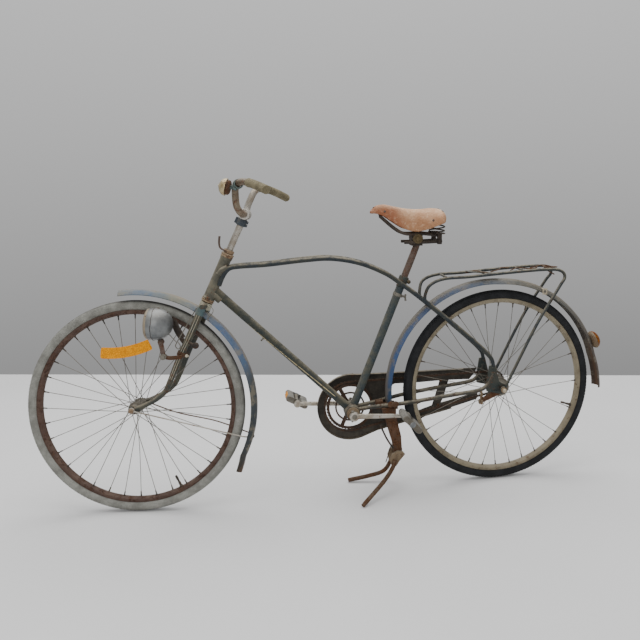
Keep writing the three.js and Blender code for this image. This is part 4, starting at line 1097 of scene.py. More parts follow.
@dataclass
class Reflector(Assembly):
    """The amber arc clipped across the front wheel's spokes."""

    middle_x: float = 74.0
    middle_up: float = 479.0
    low: float = 282.0
    high: float = 318.0
    start: float = 83.7
    end: float = 114.6
    spoke_hub: tuple[float, float] = (16.0, 28.5)
    spoke_rim: tuple[float, float] = (301.9, 3.0)
    touches_at: float = 185.0
    stand_off: float = 1.4
    thickness: float = 4.0
    body = "front_wheel"

    def inner_face(self) -> float:
        """How far left of the wheel's middle the spokes carry the plate."""
        (hub, hub_y), (rim, rim_y) = self.spoke_hub, self.spoke_rim
        return hub_y + (rim_y - hub_y) * (self.touches_at - hub) / (rim - hub) + self.stand_off

    def build(self) -> None:
        """Makes the curved plate with rounded corners, a raised rim and ribs."""
        axle, inner = LAYOUT.front_axle, self.inner_face()
        rows = []
        ribs, bands = 84, 14
        for i in range(ribs + 1):
            t = i / ribs
            a = (self.start + (self.end - self.start) * t) * DEG
            ease = min(1.0, min(t, 1 - t) / 0.035)
            trim = 5 * (1 - math.sqrt(max(0.0, 1 - (1 - ease) ** 2)))
            row = []
            for j in range(bands + 1):
                s = j / bands
                r = self.low + trim + (self.high - self.low - 2 * trim) * s
                edge = min(t, 1 - t) < 0.03 or s < 0.1 or s > 0.9
                y = inner + (self.thickness if edge else 3.4 + 0.25 * (i % 2) + 0.15 * (j % 2))
                row.append(vec(axle[0] + self.middle_x + r * math.cos(a), y,
                               axle[2] + self.middle_up - r * math.sin(a)))
            rows.append(row)
        front = np.array(rows)
        back = front.copy()
        back[:, :, 1] = inner
        self.piece("reflector_arc", Form().shell(front, back), Finish.REFLECTOR,
                   replaces=["spoke_reflector"], crisp=50)


@dataclass
class FrameTubes(Assembly):
    """Head, down and seat tubes, the twin tubes, the stays and their fittings."""

    down_radius: float = 13.5
    seat_radius: float = 14.0
    twin_radius: float = 8.0
    chain_stay_radius: float = 7.0
    body = "frame"

    @staticmethod
    def twin_path() -> list[Point]:
        """The left twin tube, from the head tube to the dropout."""
        top, seat = LAYOUT.on_head(LAYOUT.head_top), LAYOUT.on_seat(LAYOUT.seat_length)
        rear = LAYOUT.rear_axle

        def near(place: Point, forward: float, y: float, up: float) -> Point:
            """A point set off from a place."""
            return vec(place[0] + forward, y, place[2] + up)

        def span(share: float, y: float, up: float) -> Point:
            """A point over the straight line from head to seat."""
            return near(top + (seat - top) * share, 0, y, up)

        return [near(top, 26.5, 15, -91), near(top, 12.5, 15, -59), near(top, -5.5, 16, -37),
                near(top, -34.5, 17, -30), near(top, -129.5, 19, -25), span(0.42, 21, 20),
                span(0.5714, 22, 35.5), near(seat, 158.5, 23, 52), near(seat, 70.5, 24, 15),
                near(seat, 13.5, 24, -24), near(seat, -48.5, 32, -70), near(rear, 200, 45, 257),
                near(rear, 100, 54, 171), near(rear, 47, 57, 118), near(rear, 35, 57, 84)]

    @staticmethod
    def chain_stay_path() -> list[Point]:
        """The left chain stay, from the bracket to the dropout."""
        b, r = LAYOUT.bracket, LAYOUT.rear_axle
        return [b + vec(-10, 18, 7), b + vec(-78, 25, 16), b + vec(-143, 40, 24),
                b + vec(-203, 50, 32), r + vec(200, 55, -12), r + vec(95, 57, 0),
                r + vec(62, 57, 14), r + vec(45, 57, 40), r + vec(38, 57, 62)]

    def head(self) -> None:
        """The head tube with its lugs and both cups."""
        d, low, top = LAYOUT.head_direction, LAYOUT.head_low, LAYOUT.head_top
        reach = top - low
        tube = Form().lathe([(16, 0.3), (19.4, 0.3), (19.6, 3), (18.4, 5), (18, 9), (17.8, 40),
                             (17.8, reach - 40), (18, reach - 8), (19.4, reach - 4),
                             (19.2, reach - 0.3), (16, reach - 0.3)], LAYOUT.on_head(low), d, 48)
        for side in (-1, 1):
            hug = [LAYOUT.on_head(low + 88, side * 15), LAYOUT.on_head(low + 104, side * 15.5)
                   + vec(-4, 0, 0), LAYOUT.on_head(low + 116, side * 16) + vec(-16, 0, -1)]
            tube.bend(hug, 3, lambda t: 8.6 + 1.6 * (1 - t), 16)
        throat = [LAYOUT.on_head(low + 12), LAYOUT.on_head(low + 27) + vec(-9, 0, -12),
                  LAYOUT.on_head(low + 34) + vec(-26, 0, -37)]
        tube.bend(throat, 3, lambda t: 16.6 - 2.0 * t, 24)
        self.piece("head_tube_lugs", tube, Finish.HEAD, replaces=["head_tube"], crisp=50)
        lower = Form().lathe([(14, 0), (20.6, 0), (21.2, -1.5), (20.8, -3.2), (18.6, -4),
                              (18.4, -5.4), (20.4, -6.2), (21, -8), (20.2, -9.8), (14, -9.8)],
                             LAYOUT.on_head(low - 0.3), d, 48)
        self.piece("headset_lower_cup", lower, Finish.HEADSET, replaces=["headset_lower"], crisp=60)
        upper = Form().lathe([(14, 0.4), (19.8, 0.4), (20.4, 2), (19.6, 5), (19.2, 7), (20.6, 8.4),
                              (20.8, 11), (19.4, 12.8), (14, 13.4)], LAYOUT.on_head(top), d, 48)
        self.piece("headset_upper_cup", upper, Finish.HEADSET, replaces=["headset_upper"], crisp=60)

    def main_tubes(self) -> None:
        """Down tube, seat tube with its clamp, and the bracket shell."""
        b, low = LAYOUT.bracket, LAYOUT.head_low
        top = LAYOUT.on_head(low + 36)
        line = spline([b + (top - b) * t for t in (0.035, 0.5, 0.985)], 20)
        down = Form().sweep(line, lambda t: self.down_radius + 0.9 * max(0, (t - 0.9) / 0.1)
                            + 1.2 * max(0, (0.06 - t) / 0.06), 28)
        self.piece("down_tube_lined", down, Finish.DOWN_TUBE, replaces=["down_tube"])
        seat = Form().sweep([LAYOUT.on_seat(s) for s in (24, 34, 36, 250, 470)], self.seat_radius, 28)
        self.piece("seat_tube_long", seat, Finish.SEAT_TUBE, replaces=["seat_tube"])
        length = LAYOUT.seat_length
        lug = Form().lathe([(12.4, -40), (15.2, -40), (15.8, -37), (16, -28), (16.8, -24),
                            (17, -2), (16.2, 0), (12.4, 0)], LAYOUT.on_seat(length),
                           LAYOUT.seat_direction, 36)
        ear = LAYOUT.on_seat(length - 12) + vec(-17, 0, -7)
        for side in (-1, 1):
            lug.pin(ear + vec(0, side * 2, 0), ear + vec(0, side * 14, 0), 7.2, 24)
            lug.block(LAYOUT.on_seat(length - 12) + vec(-11, side * 8, -4.5), (14, 9, 13), 20)
        self.piece("seat_clamp_lug", lug, Finish.DROPOUT, bevel=0.6)
        bolt = Form()
        bolt.dome(ear + vec(0, 14, 0), ACROSS, 6.0, 3.4)
        bolt.nut(ear + vec(0, -14, 0), ear + vec(0, -18.5, 0), 10)
        self.piece("seat_clamp_bolt", bolt, Finish.BOLT_BRASS)
        shell = Form()
        for side in (-1, 1):
            shell.lathe([(9.6, 0), (27, 0), (26.8, 22), (26, 26), (26, 33), (24.5, 34.6),
                         (9.6, 34.6)], b, vec(0, side, 0), 48)
        self.piece("bracket_shell", shell, Finish.STAY, replaces=["bottom_bracket_shell"], crisp=30)
        cups = Form()
        for side in (-1, 1):
            cups.lathe([(10, 33), (22, 33), (22, 37), (19, 38.5), (15, 38.5), (14, 41), (10, 41.5)],
                       b, vec(0, side, 0), 40)
            for k in range(6):
                a = k * math.pi / 3
                cups.dome(b + vec(18 * math.cos(a), side * 38, 18 * math.sin(a)),
                          vec(0, side, 0), 1.8, 0.8)
        self.piece("bracket_cups", cups, Finish.CASTING, crisp=30)

    def stays(self) -> None:
        """Twin tubes, chain stays, dropouts and the bridge."""
        for side, name in ((1, "left"), (-1, "right")):
            path = spline(mirrored(self.twin_path(), side), 7)
            tube = Form().sweep(path, lambda t: self.twin_radius
                                - 2.0 * max(0, (t - 0.95) / 0.05), 20)
            self.piece(f"twin_tube_{name}_bent", tube, Finish.FRAME, replaces=[f"twin_tube_{name}"])
            stay = Form().bend(mirrored(self.chain_stay_path(), side), 7,
                               lambda t: self.chain_stay_radius - 1.5 * max(0, (t - 0.9) / 0.1), 20)
            self.piece(f"chain_stay_{name}_bent", stay, Finish.STAY,
                       replaces=[f"chain_stay_{name}"])
            self.dress(f"dropout_{name}", Finish.DROPOUT, 1.2)
            tabs = Form()
            for place in (vec(35, side * 57, 428), vec(38, side * 57, 408), vec(41, side * 57, 392)):
                tabs.lathe(both_ways((7.2, 4.6), (8.0, 3)), place, ACROSS, 20)
            self.piece(f"dropout_{name}_brazing", tabs, Finish.DROPOUT)
        self.dress("seat_stay_bridge", Finish.FRAME, 0.6)

    def fittings(self) -> None:
        """Axle nuts, the brake arm's clip, the pump peg, the band and the stay's clamp plate."""
        axle = LAYOUT.rear_axle
        nuts, caps = Form(), Form()
        nuts.pin(axle + vec(0, -79, 0), axle + vec(0, 79, 0), 4.5, 20)
        for side in (-1, 1):
            nuts.nut(axle + vec(0, side * 60.5, 0), axle + vec(0, side * 66, 0), 15.4, 0.4)
            nuts.lathe([(9.6, 0), (10.4, 0.4), (10.4, 1.6), (9.6, 2)],
                       axle + vec(0, side * 70.6, 0), vec(0, side, 0), 28)
            nuts.nut(axle + vec(0, side * 72, 0), axle + vec(0, side * 77, 0), 15.4, 0.9)
            caps.lathe([(7.2, 76.6), (7.2, 79), (6.2, 82.0), (3.6, 84.2), (0.4, 85)], axle,
                       vec(0, side, 0), 28)
        self.piece("rear_axle_nuts", nuts, Finish.HEADSET, replaces=["rear_axle"])
        self.piece("rear_axle_caps", caps, Finish.NUT)
        self.dress("brake_arm", Finish.RUST, 0.7)
        clip = Form()
        clip.block(vec(80, 54, 308), (14, 14, 12), -8)
        clip.bend([(76, 48, 312), (72, 46, 330), (76, 48, 346), (80, 57, 350),
                   (83, 66, 344), (84, 66, 326), (82, 62, 312)], 4, 3.6, 10,
                  squash=0.35)
        clip.pin(vec(80, 44, 306), vec(80, 66, 306), 3.2)
        clip.nut(vec(80, 63, 306), vec(80, 68, 306), 9)
        self.piece("brake_arm_clip", clip, Finish.CASTING, bevel=0.8)
        lean = unit(LAYOUT.on_head(LAYOUT.head_low + 36) - LAYOUT.bracket)
        under = unit(vec(lean[2], 0, -lean[0]))
        peg = Form().lathe([(4.6, 12.6), (4.6, 14.5), (2.6, 16), (2.6, 22), (3.4, 23), (2.6, 25)],
                           LAYOUT.bracket + lean * 400, under, 16)
        self.piece("pump_peg", peg, Finish.STEEL)
        band = Form()
        place, d = LAYOUT.on_seat(436), LAYOUT.seat_direction
        band.lathe(both_ways((14.1, 6), (15.4, 6), (15.7, 4)), place, d, 36, loop=True)
        rear = unit(vec(-d[2], 0, d[0]))
        band.pin(place + rear * 13, place + rear * 30, 3.0)
        band.block(place + rear * 19, (10, 9, 6), -22)
        wing = place + rear * 31
        band.sweep([wing + vec(-1, 0, 11), wing + vec(1.5, 0, 4), wing, wing + vec(1, 0, -5),
                    wing + vec(-1, 0, -12)], lambda t: 3.0 + 1.6 * abs(t - 0.5), 12, squash=0.5)
        self.piece("seat_tube_band", band, Finish.STEEL, bevel=0.4)
        plate = Form()
        mid = vec(395, 46, 318)
        for side in (-1, 1):
            plate.lathe(both_ways((9.4, 2), (10.6, 1)), mid + vec(side * 9, 4, 0),
                        vec(0.3, 1, 0.1), 20)
        plate.block(mid + vec(0, 5, 0), (22, 3.4, 15), -8)
        plate.dome(mid + vec(4, 7, 0), ACROSS, 4.2, 2.2)
        self.piece("stay_clamp_plate", plate, Finish.RUST, bevel=0.5)

    def build(self) -> None:
        """Makes the frame's pieces."""
        self.head()
        self.main_tubes()
        self.stays()
        self.fittings()


@dataclass
class Saddle(Assembly):
    """Leather top on black irons and two coil springs, on its post."""

    length: float = 256.0
    width: float = 190.0
    forward: float = 16.6
    rise: float = 118.0
    leather_sheet: float = 3.6
    body = "frame"
    stations: tuple[tuple[float, float, float, float], ...] = (
        (0.0, 0.10, 0, 6), (0.06, 0.17, 14, 20), (0.16, 0.21, 20, 34), (0.3, 0.26, 15, 52),
        (0.45, 0.38, 9, 68), (0.58, 0.58, 6, 72), (0.72, 0.82, 5, 62), (0.86, 0.98, 6, 48),
        (0.955, 0.8, 0, 34), (1.0, 0.42, -12, 14))

    @property
    def post_top(self) -> Point:
        """The top of the seat post."""
        return LAYOUT.on_seat(LAYOUT.seat_length + LAYOUT.post_rise)

    @property
    def nose_x(self) -> float:
        """How far forward the leather's nose is."""
        return float(self.post_top[0]) + self.forward + self.length * 0.57

    @property
    def spring_x(self) -> float:
        """Where the springs stand."""
        return self.nose_x - self.length + 24

    def surface(self, along: float, across: float, inset: float = 0.0) -> Point:
        """A point of the leather.

        Args:
            along: 0 at the nose to 1 at the tail.
            across: -1 at the right edge to 1 at the left.
            inset: how far inside the outer face it is.

        Returns:
            The point.
        """
        table = np.array(self.stations)
        width, crown, drop = (self._smooth(along, table[:, 0], table[:, k]) for k in (1, 2, 3))
        bend = math.sin(across * math.pi / 2)
        sag = 1.2 * math.sin(along * 9) * (1 - across * across)
        return vec(self.nose_x - self.length * along, bend * (self.width / 2 * width - inset),
                   self.post_top[2] + self.rise + crown - inset
                   - abs(across) ** 2.6 * drop + sag - 1.2)

    @staticmethod
    def _smooth(at: float, xs: Point, ys: Point) -> float:
        """A value on a smooth line through a table."""
        i = int(np.clip(np.searchsorted(xs, at) - 1, 0, len(xs) - 2))
        slopes = np.gradient(ys, xs)
        h = xs[i + 1] - xs[i]
        t = (at - xs[i]) / h
        return float((2 * t ** 3 - 3 * t * t + 1) * ys[i] + (t ** 3 - 2 * t * t + t) * h * slopes[i]
                     + (3 * t * t - 2 * t ** 3) * ys[i + 1] + (t ** 3 - t * t) * h * slopes[i + 1])

    def leather(self) -> None:
        """The leather as one curved sheet with its thickness, and its rivets."""
        alongs, acrosses = np.linspace(0, 1, 56), np.linspace(-1, 1, 41)
        outer = np.array([[self.surface(a, s) for s in acrosses] for a in alongs])
        inner = np.array([[self.surface(a, s, self.leather_sheet) for s in acrosses] for a in alongs])
        form = Form().shell(outer, inner, halfway=True)
        self.piece("saddle_leather_top", form, Finish.HIDE, replaces=["saddle_leather"],
                   crisp=80, levels=1)
        rivets = Form()
        spots = [(0.181, 0.82), (0.181, -0.82), (0.778, 0.833), (0.778, -0.833), (0.93, 0.45),
                 (0.93, 0.0), (0.93, -0.45), (0.045, 0.0)]
        for along, across in spots:
            place = self.surface(along, across)
            du = self.surface(along + 0.02, across) - place
            dv = self.surface(along, across + 0.02) - place
            out = unit(np.cross(du, dv))
            if out[2] < 0 or (abs(across) > 0.9 and out[1] * across < 0):
                out = -out
            rivets.dome(place + out * 0.1, out, 4.2, 1.5)
        self.piece("saddle_rivets", rivets, Finish.POST)

    def irons(self) -> None:
        """Rails, clamp, nose strut, cantle plate, springs and post."""
        top = self.post_top
        clamp = vec(top[0] + 4, 0, top[2] + 23)
        high, low = top[2] + 39, top[2] + 10
        nose = vec(self.nose_x - 36, 0, top[2] + 96)
        form = Form()
        form.block(clamp + vec(0, 0, -6), (38, 44, 38))
        form.pin(nose + vec(0, -12, 0), nose + vec(0, 12, 0), 5)
        form.sweep([nose, nose + vec(12, 0, 38)], 5.6, 12, squash=0.6)
        form.pin(vec(self.spring_x, -46, low + 4), vec(self.spring_x, 46, low + 4), 6)
        for side in (-1, 1):
            upper = [nose + vec(0, side * 8, 0), vec(top[0] + 78.5, side * 18, top[2] + 56),
                     vec(top[0] + 43.5, side * 27, high), vec(top[0] - 11.5, side * 30, high),
                     vec(self.spring_x, side * 36, high - 6)]
            form.bend(upper, 6, 5.2, 12, squash=0.7)
            lower = [(top[0] + 50.5, side * 27, low), (top[0] - 11.5, side * 32, low),
                     (self.spring_x, side * 36, low + 2)]
            form.bend(lower, 6, 5.2, 12, squash=0.7)
            form.block(vec(self.spring_x, side * 40, (high + low) / 2 - 1.5), (14, 15, 38))
            form.lathe([(13, 0), (19, 0), (19, 3.4), (17, 4), (12, 4)],
                       vec(self.spring_x, side * 44, high), vec(0, 0, 1), 30)
            form.pin(vec(self.spring_x, side * 30, low + 4), vec(self.spring_x, side * 52, low + 4), 7.5)
        self.piece("saddle_iron_rails", form, Finish.IRON, replaces=["saddle_irons"], bevel=0.9)
        knuckle = Form()
        for side in (-1, 1):
            knuckle.lathe([(17, 22), (17.4, 24), (17.4, 34), (15.6, 36), (12.5, 36), (12.2, 34.6),
                           (7, 34.6), (7, 38), (5, 39)], clamp, vec(0, side, 0), 36)
        self.piece("saddle_clamp_knuckle", knuckle, Finish.BOLT_BRASS, crisp=30)
        self.dress("saddle_cantle", Finish.IRON, 0.6)
        for side, name in ((1, "left"), (-1, "right")):
            coil, turns = [], 3.6
            bottom, crest = high + 4 + 2.6, high + 57 - 2.6
            for i in range(170):
                t = i / 169
                a = t * turns * 2 * math.pi
                r = 15 + 1.5 * math.sin(math.pi * t)
                coil.append(vec(self.spring_x + r * math.cos(a), side * (44 + r * math.sin(a)),
                                bottom + (crest - bottom) * (t - math.sin(2 * math.pi * t) * 0.05)))
            self.piece(f"saddle_coil_{name}", Form().sweep(coil, 2.4, 10), Finish.IRON,
                       replaces=[f"saddle_spring_{name}"])
        post = Form().lathe([(11.9, -72), (11.9, 70), (11.4, 108), (10.6, 117.6), (9, 118)],
                            LAYOUT.on_seat(LAYOUT.seat_length), LAYOUT.seat_direction, 32)
        self.piece("seat_post_tube", post, Finish.POST, replaces=["seat_post"])

    def build(self) -> None:
        """Makes the saddle's pieces."""
        self.leather()
        self.irons()


@dataclass
class Mudguard(Assembly):
    """A rolled sheet guard about a wheel."""

    name: str
    body: str
    middle: Point
    start: float
    end: float
    finish: Finish
    radius_at: Callable[[float], float]
    width: float = 56.0
    depth: float = 16.0
    sheet: float = 1.6

    def build(self) -> None:
        """Makes the guard with beaded edges and shallow waves in its sheet."""
        steps, columns = 150, 25
        layers = []
        for inset in (0.0, self.sheet):
            rows = []
            for i in range(steps + 1):
                t = i / steps
                a = (self.start + (self.end - self.start) * t) * DEG
                row = []
                for j in range(columns):
                    s = j / (columns - 1) * 2 - 1
                    wave = 0.5 * math.sin(t * 31 + s * 2) * math.sin(t * 11) * (1 - abs(s))
                    bead = 1.1 * max(0.0, (abs(s) - 0.9) / 0.1) * (1 if inset == 0 else -0.6)
                    r = self.radius_at(t) - inset - self.depth * abs(s) ** 2.4 - abs(wave)
                    y = s * (self.width / 2 - inset)
                    row.append(vec(self.middle[0] + (r + bead * 0.4) * math.cos(a), y,
                                   self.middle[2] + (r + bead * 0.4) * math.sin(a)))
                rows.append(row)
            layers.append(np.array(rows))
        self.piece(f"{self.name}_sheet", Form().shell(*layers), self.finish,
                   replaces=[self.name], crisp=60)


@dataclass
class RearFittings(Assembly):
    """Tail lamp, carrier and what is left of its clip."""

    half: float = 56.0
    tube: float = 5.5
    eye_from: float = 66.3
    lamp_angle: float = 158.0
    lamp_radius: float = 31.6
    clip_angle: float = 113.0
    clip_rise: float = 374.0
    body = "frame"

    def lamp(self) -> None:
        """The amber dome on its pale housing."""
        a = self.lamp_angle * DEG
        out = vec(math.cos(a), 0, math.sin(a))
        base = LAYOUT.rear_axle + out * LAYOUT.guard_radius
        housing = Form().lathe([(20, -1), (24, 0.5), (28, 4), (31.5, 8), (33, 11.4), (33, 13.5),
                                (30, 14)], base, out, 48)
        self.piece("tail_lamp_housing", housing, Finish.CASTING, replaces=["tail_lamp"])
        rings = [(self.lamp_radius, 13.0)]
        for k in range(1, 15):
            t = k / 15
            rib = 0.5 if k % 2 else 0.0
            rings.append((self.lamp_radius * math.sqrt(1 - 0.72 * t * t) + rib, 13 + 17 * t))
        dome = Form().lathe([*rings, (15, 30.6), (6, 31)], base, out, 60)
        self.piece("tail_lamp_dome", dome, Finish.TAIL, crisp=60)

    def rail(self) -> list[Point]:
        """The carrier's left rail, from the seat stay over the wheel to the axle."""
        seat, rear = LAYOUT.on_seat(LAYOUT.seat_length), LAYOUT.rear_axle
        h = self.half
        return [vec(seat[0] - 64.5, 36, seat[2] - 84.5), vec(seat[0] - 64.5, 44, seat[2] - 56.5),
                vec(seat[0] - 79.5, h, seat[2] - 23.5), vec(seat[0] - 128.5, h, seat[2] - 4.5),
                rear + vec(125, h, 407), rear + vec(-20, h, 418), rear + vec(-150, h, 425),
                rear + vec(-207, h, 420), rear + vec(-223, h + 4, 397),
                rear + vec(-200, h + 10, 362), rear + vec(-120, h + 14, 236),
                rear + vec(-18, 71.3, 36), rear + vec(-8, 68.3, 10)]

    def carrier(self) -> None:
        """The bent rails, cross bars, top plate and axle eyes."""
        seat, rear = LAYOUT.on_seat(LAYOUT.seat_length), LAYOUT.rear_axle
        form = Form()
        for side in (-1, 1):
            form.bend(mirrored(self.rail(), side), 6,
                      lambda t: self.tube - 1.5 * max(0, (t - 0.96) / 0.04), 16)
            form.lathe([(4.9, 0), (12, 0), (13, 0.8), (13, 3.2), (12, 4), (4.9, 4)],
                       LAYOUT.rear_axle + vec(0, side * self.eye_from, 0), vec(0, side, 0), 28)
            form.sweep([rear + vec(-14, side * 68.3, 26), rear + vec(-8, side * 68.3, 10)],
                       4.2, 12, squash=0.5)
        bars = [vec(seat[0] - 140.5, 0, seat[2] - 2.5), rear + vec(60, 0, 411),
                rear + vec(-80, 0, 421), rear + vec(-190, 0, 423)]
        for bar in bars:
            form.pin(bar + vec(0, -self.half, 0), bar + vec(0, self.half, 0), 4, 14)
        form.block(bars[1] + vec(0, 0, 2), (120, 34, 3), 5)
        self.piece("carrier_rails", form, Finish.CARRIER, replaces=["carrier"], bevel=0.3)
        scraps = Form()
        z = rear[2] + 425
        for path in (
            [vec(-30, 30, z - 3), vec(-60, 22, z + 5), vec(-96, 26, z + 1), vec(-120, 40, z + 4),
             vec(-128, 30, z + 8), vec(-110, 12, z + 2)],
            [vec(-150, -30, z + 2), vec(-172, -12, z + 8), vec(-196, 4, z + 4), vec(-205, 30, z + 5),
             vec(-190, 44, z + 6), vec(-170, 30, z + 4), vec(-158, 8, z + 7)],
            [vec(40, 20, z - 8), vec(10, 12, z - 2), vec(-12, -10, z + 2), vec(-40, -16, z)],
            [vec(120, -20, z - 14), vec(90, -4, z - 6), vec(70, 14, z - 9), vec(52, 30, z - 10)],
            [vec(-160, 20, z + 2), vec(-176, 24, z - 10), vec(-198, 26, z - 22)],
        ):
            scraps.bend(path, 4, 2.0, 8)
        coil = [vec(-190 + 7 * math.cos(t), -30 + t * 1.3, z - 2 + 7 * math.sin(t))
                for t in np.linspace(0, 10 * math.pi, 120)]
        scraps.sweep(coil, 1.4, 8)
        self.piece("carrier_clip_scraps", scraps, Finish.RUST)
        clip = Form().plate([(-9, -11), (9, -11), (9, 11), (-9, 11)], [circle(0, 0, 5, count=20)],
                            42.5, 44.5)
        a = self.clip_angle * DEG
        clip_x = LAYOUT.guard_radius * math.cos(a) - 4
        clip_z = rear[2] + self.clip_rise * math.sin(a)
        clip.points = [(clip_x + x, y, clip_z + z) for x, y, z in clip.points]
        clip.block(vec(clip_x, 33, clip_z + 8), (10, 20, 3))
        self.piece("rear_guard_clip", clip, Finish.NUT, bevel=0.6)

    def build(self) -> None:
        """Makes the lamp and the carrier."""
        self.lamp()
        self.carrier()


@dataclass
class Drive(Assembly):
    """Chain, sprocket, chainring, guard, cranks and pedals."""

    chain_line: float = 44.6
    pitch: float = 12.7
    roller: float = 5.3
    ring_radius: float = 84.0
    sprocket_radius: float = 34.0
    left_plane: float = 68.0
    right_plane: float = 81.0
    crank_length: float = 183.0
    crank_angle: float = 183.0
    body = "frame"

    def plane(self, side: float) -> float:
        """How far out a crank turns."""
        return self.left_plane if side > 0 else self.right_plane

    def chain_path(self) -> tuple[Point, Point]:
        """The chain's pin places and directions, one link apart."""
        front, rear = self.ring_radius + self.roller, self.sprocket_radius + self.roller
        b, a = LAYOUT.bracket, LAYOUT.rear_axle
        dx, dz = b[0] - a[0], b[2] - a[2]
        reach, lean = math.hypot(dx, dz), math.atan2(dz, dx) / DEG
        spread = math.acos((rear - front) / reach) / DEG
        loop = [*circle(b[0], b[2], front, lean - spread, lean + spread, 200),
                *circle(a[0], a[2], rear, lean + spread, lean + 360 - spread, 120)]
        loop.append(loop[0])
        line = np.array(loop)
        run = np.concatenate([[0], np.cumsum(np.linalg.norm(np.diff(line, axis=0), axis=1))])
        links = 2 * round(run[-1] / self.pitch / 2)
        even = np.linspace(0, run[-1], links, endpoint=False)
        pins = np.stack([np.interp(even, run, line[:, k]) for k in (0, 1)], axis=1)
        return pins, np.roll(pins, -1, axis=0) - pins

    def chain(self) -> None:
        """A roller chain, link by link."""
        form = Form()
        pins, steps = self.chain_path()
        for i, (pin, step) in enumerate(zip(pins, steps)):
            lean = math.atan2(step[1], step[0])
            reach = math.hypot(*step)
            outline = []
            for end, base in ((reach, -60), (0, 120)):
                for k in range(7):
                    a = (base + k * 20) * DEG
                    outline.append((end + 4.0 * math.cos(a), 4.0 * math.sin(a)))
            outline.insert(7, (reach / 2, 2.9))
            outline.append((reach / 2, -2.9))
            c, s = math.cos(lean), math.sin(lean)
            pairs = [(pin[0] + x * c - z * s, pin[1] + x * s + z * c) for x, z in outline]
            off = 2.4 if i % 2 else 1.5
            for side in (-1, 1):
                form.plate(pairs, [], *sorted(side * d - self.chain_line for d in (off, off + 0.85)))
            for r, half, sides in ((3.7, 1.6, 8), (1.6, 3.5, 6)):
                form.lathe(both_ways((r, half)), vec(pin[0], -self.chain_line, pin[1]), ACROSS, sides)
        self.piece("chain_links", form, Finish.CHAIN, replaces=["chain"])

    @staticmethod
    def toothed(x: float, z: float, root: float, tip: float, teeth: int) -> list[tuple[float, float]]:
        """An outline with teeth."""
        points = []
        for k in range(teeth):
            for share, r in ((0.0, root), (0.22, root), (0.4, tip - 0.6), (0.5, tip),
                             (0.6, tip - 0.6), (0.78, root)):
                a = (k + share) / teeth * 2 * math.pi
                points.append((x + r * math.cos(a), z + r * math.sin(a)))
        return points

    def rings(self) -> None:
        """The chainring with its three arms, and the rear sprocket."""
        b, holes = LAYOUT.bracket, []
        arms, half = (62, 187, 293), 6.5
        for i, angle in enumerate(arms):
            after = arms[(i + 1) % 3] + (0 if i < 2 else 360)
            for inner, outer in ((20, 47), (53, 73)):
                lean = [math.asin(half / r) / DEG for r in (inner, outer)]
                holes.append([*circle(b[0], b[2], outer, angle + lean[1], after - lean[1], 30),
                              *circle(b[0], b[2], inner, after - lean[0], angle + lean[0], 18)])
        y = -self.chain_line
        ring = Form().plate(self.toothed(b[0], b[2], 82.2, 84, 44), holes, y - 1.4, y + 1.4)
        ring.lathe(both_ways((9.6, 5), (19, 4), (20, 0)), b + vec(0, y, 0), ACROSS, 40)
        for angle in arms:
            spot = b + vec(66 * math.cos(angle * DEG), y, 66 * math.sin(angle * DEG))
            ring.nut(spot + ACROSS, spot + vec(0, 4, 0), 9)
        self.piece("chainring_toothed", ring, Finish.CHAIN, "crankset", replaces=["chainring"],
                   bevel=0.4)
        rear = Form().plate(self.toothed(0, 350, 32.4, 34, 18), [circle(0, 350, 12)], y - 1.4, y + 1.4)
        rear.lathe([(18, -14), (22, -12), (22, -2), (20, 0), (18, 1)], vec(0, y + 14, 350),
                   ACROSS, 36)
        self.piece("rear_sprocket", rear, Finish.CHAIN, "rear_wheel", bevel=0.3)

    def cranks(self) -> None:
        """Both cranks, their eyes, cotter pins and the axle."""
        b = LAYOUT.bracket
        self.piece("crank_axle_bar", Form().pin(b + vec(0, -73.4, 0), b + vec(0, 60.4, 0), 9, 24),
                   Finish.STEEL, "crankset", replaces=["crank_axle"])
        for side, name in ((1, "left"), (-1, "right")):
            end = self.pedal_centre(side)
            y = side * self.plane(side)
            arm = Form()
            line = [vec(b[0] + (end[0] - b[0]) * t, y, b[2] + (end[2] - b[2]) * t)
                    for t in np.linspace(0.05, 0.97, 20)]
            arm.sweep(line, lambda t: 9.5 - 2.5 * t, 20, squash=0.66)
            arm.lathe([(9, -7), (15, -7), (16, -6), (16, 5), (15, 7), (9, 7)],
                      vec(b[0], y, b[2]), vec(0, side, 0), 40)
            arm.lathe(both_ways((6, 7), (11, 7), (12, 6)),
                      vec(end[0], y, end[2]), vec(0, side, 0), 32)
            self.piece(f"crank_{name}_forged", arm, Finish.CHROME, "crankset",
                       replaces=[f"crank_{name}"], crisp=30)
            cotter = Form()
            across = vec(math.sin(self.crank_angle * DEG), 0, -math.cos(self.crank_angle * DEG))
            spot = vec(b[0] + side * 6, y, b[2])
            cotter.pin(spot - across * 19, spot + across * 21, 3.6)
            cotter.nut(spot + across * 16, spot + across * 20, 10)
            cotter.lathe([(9.0, 6.6), (9.0, 7.6), (5.5, 8.0), (5.0, 7.2)], vec(b[0], y, b[2]),
                         vec(0, side, 0), 28)
            self.piece(f"crank_{name}_cotter", cotter, Finish.STEEL, "crankset")

    def pedal_centre(self, side: float) -> Point:
        """The pedal axle's place in the side plane."""
        a = (self.crank_angle if side > 0 else self.crank_angle - 180) * DEG
        b = LAYOUT.bracket
        return vec(b[0] + self.crank_length * math.cos(a), 0, b[2] + self.crank_length * math.sin(a))

    def pedal(self, side: float, name: str) -> None:
        """A pedal: axle, end plates, two grooved rubber blocks, and a reflector on the right."""
        end, turn = self.pedal_centre(side), 45 if side > 0 else 28
        inner = self.plane(side) + 7.3
        first, last = inner + 6, inner + 90
        body = f"pedal_{name}"
        c, s = math.cos(turn * DEG), math.sin(turn * DEG)

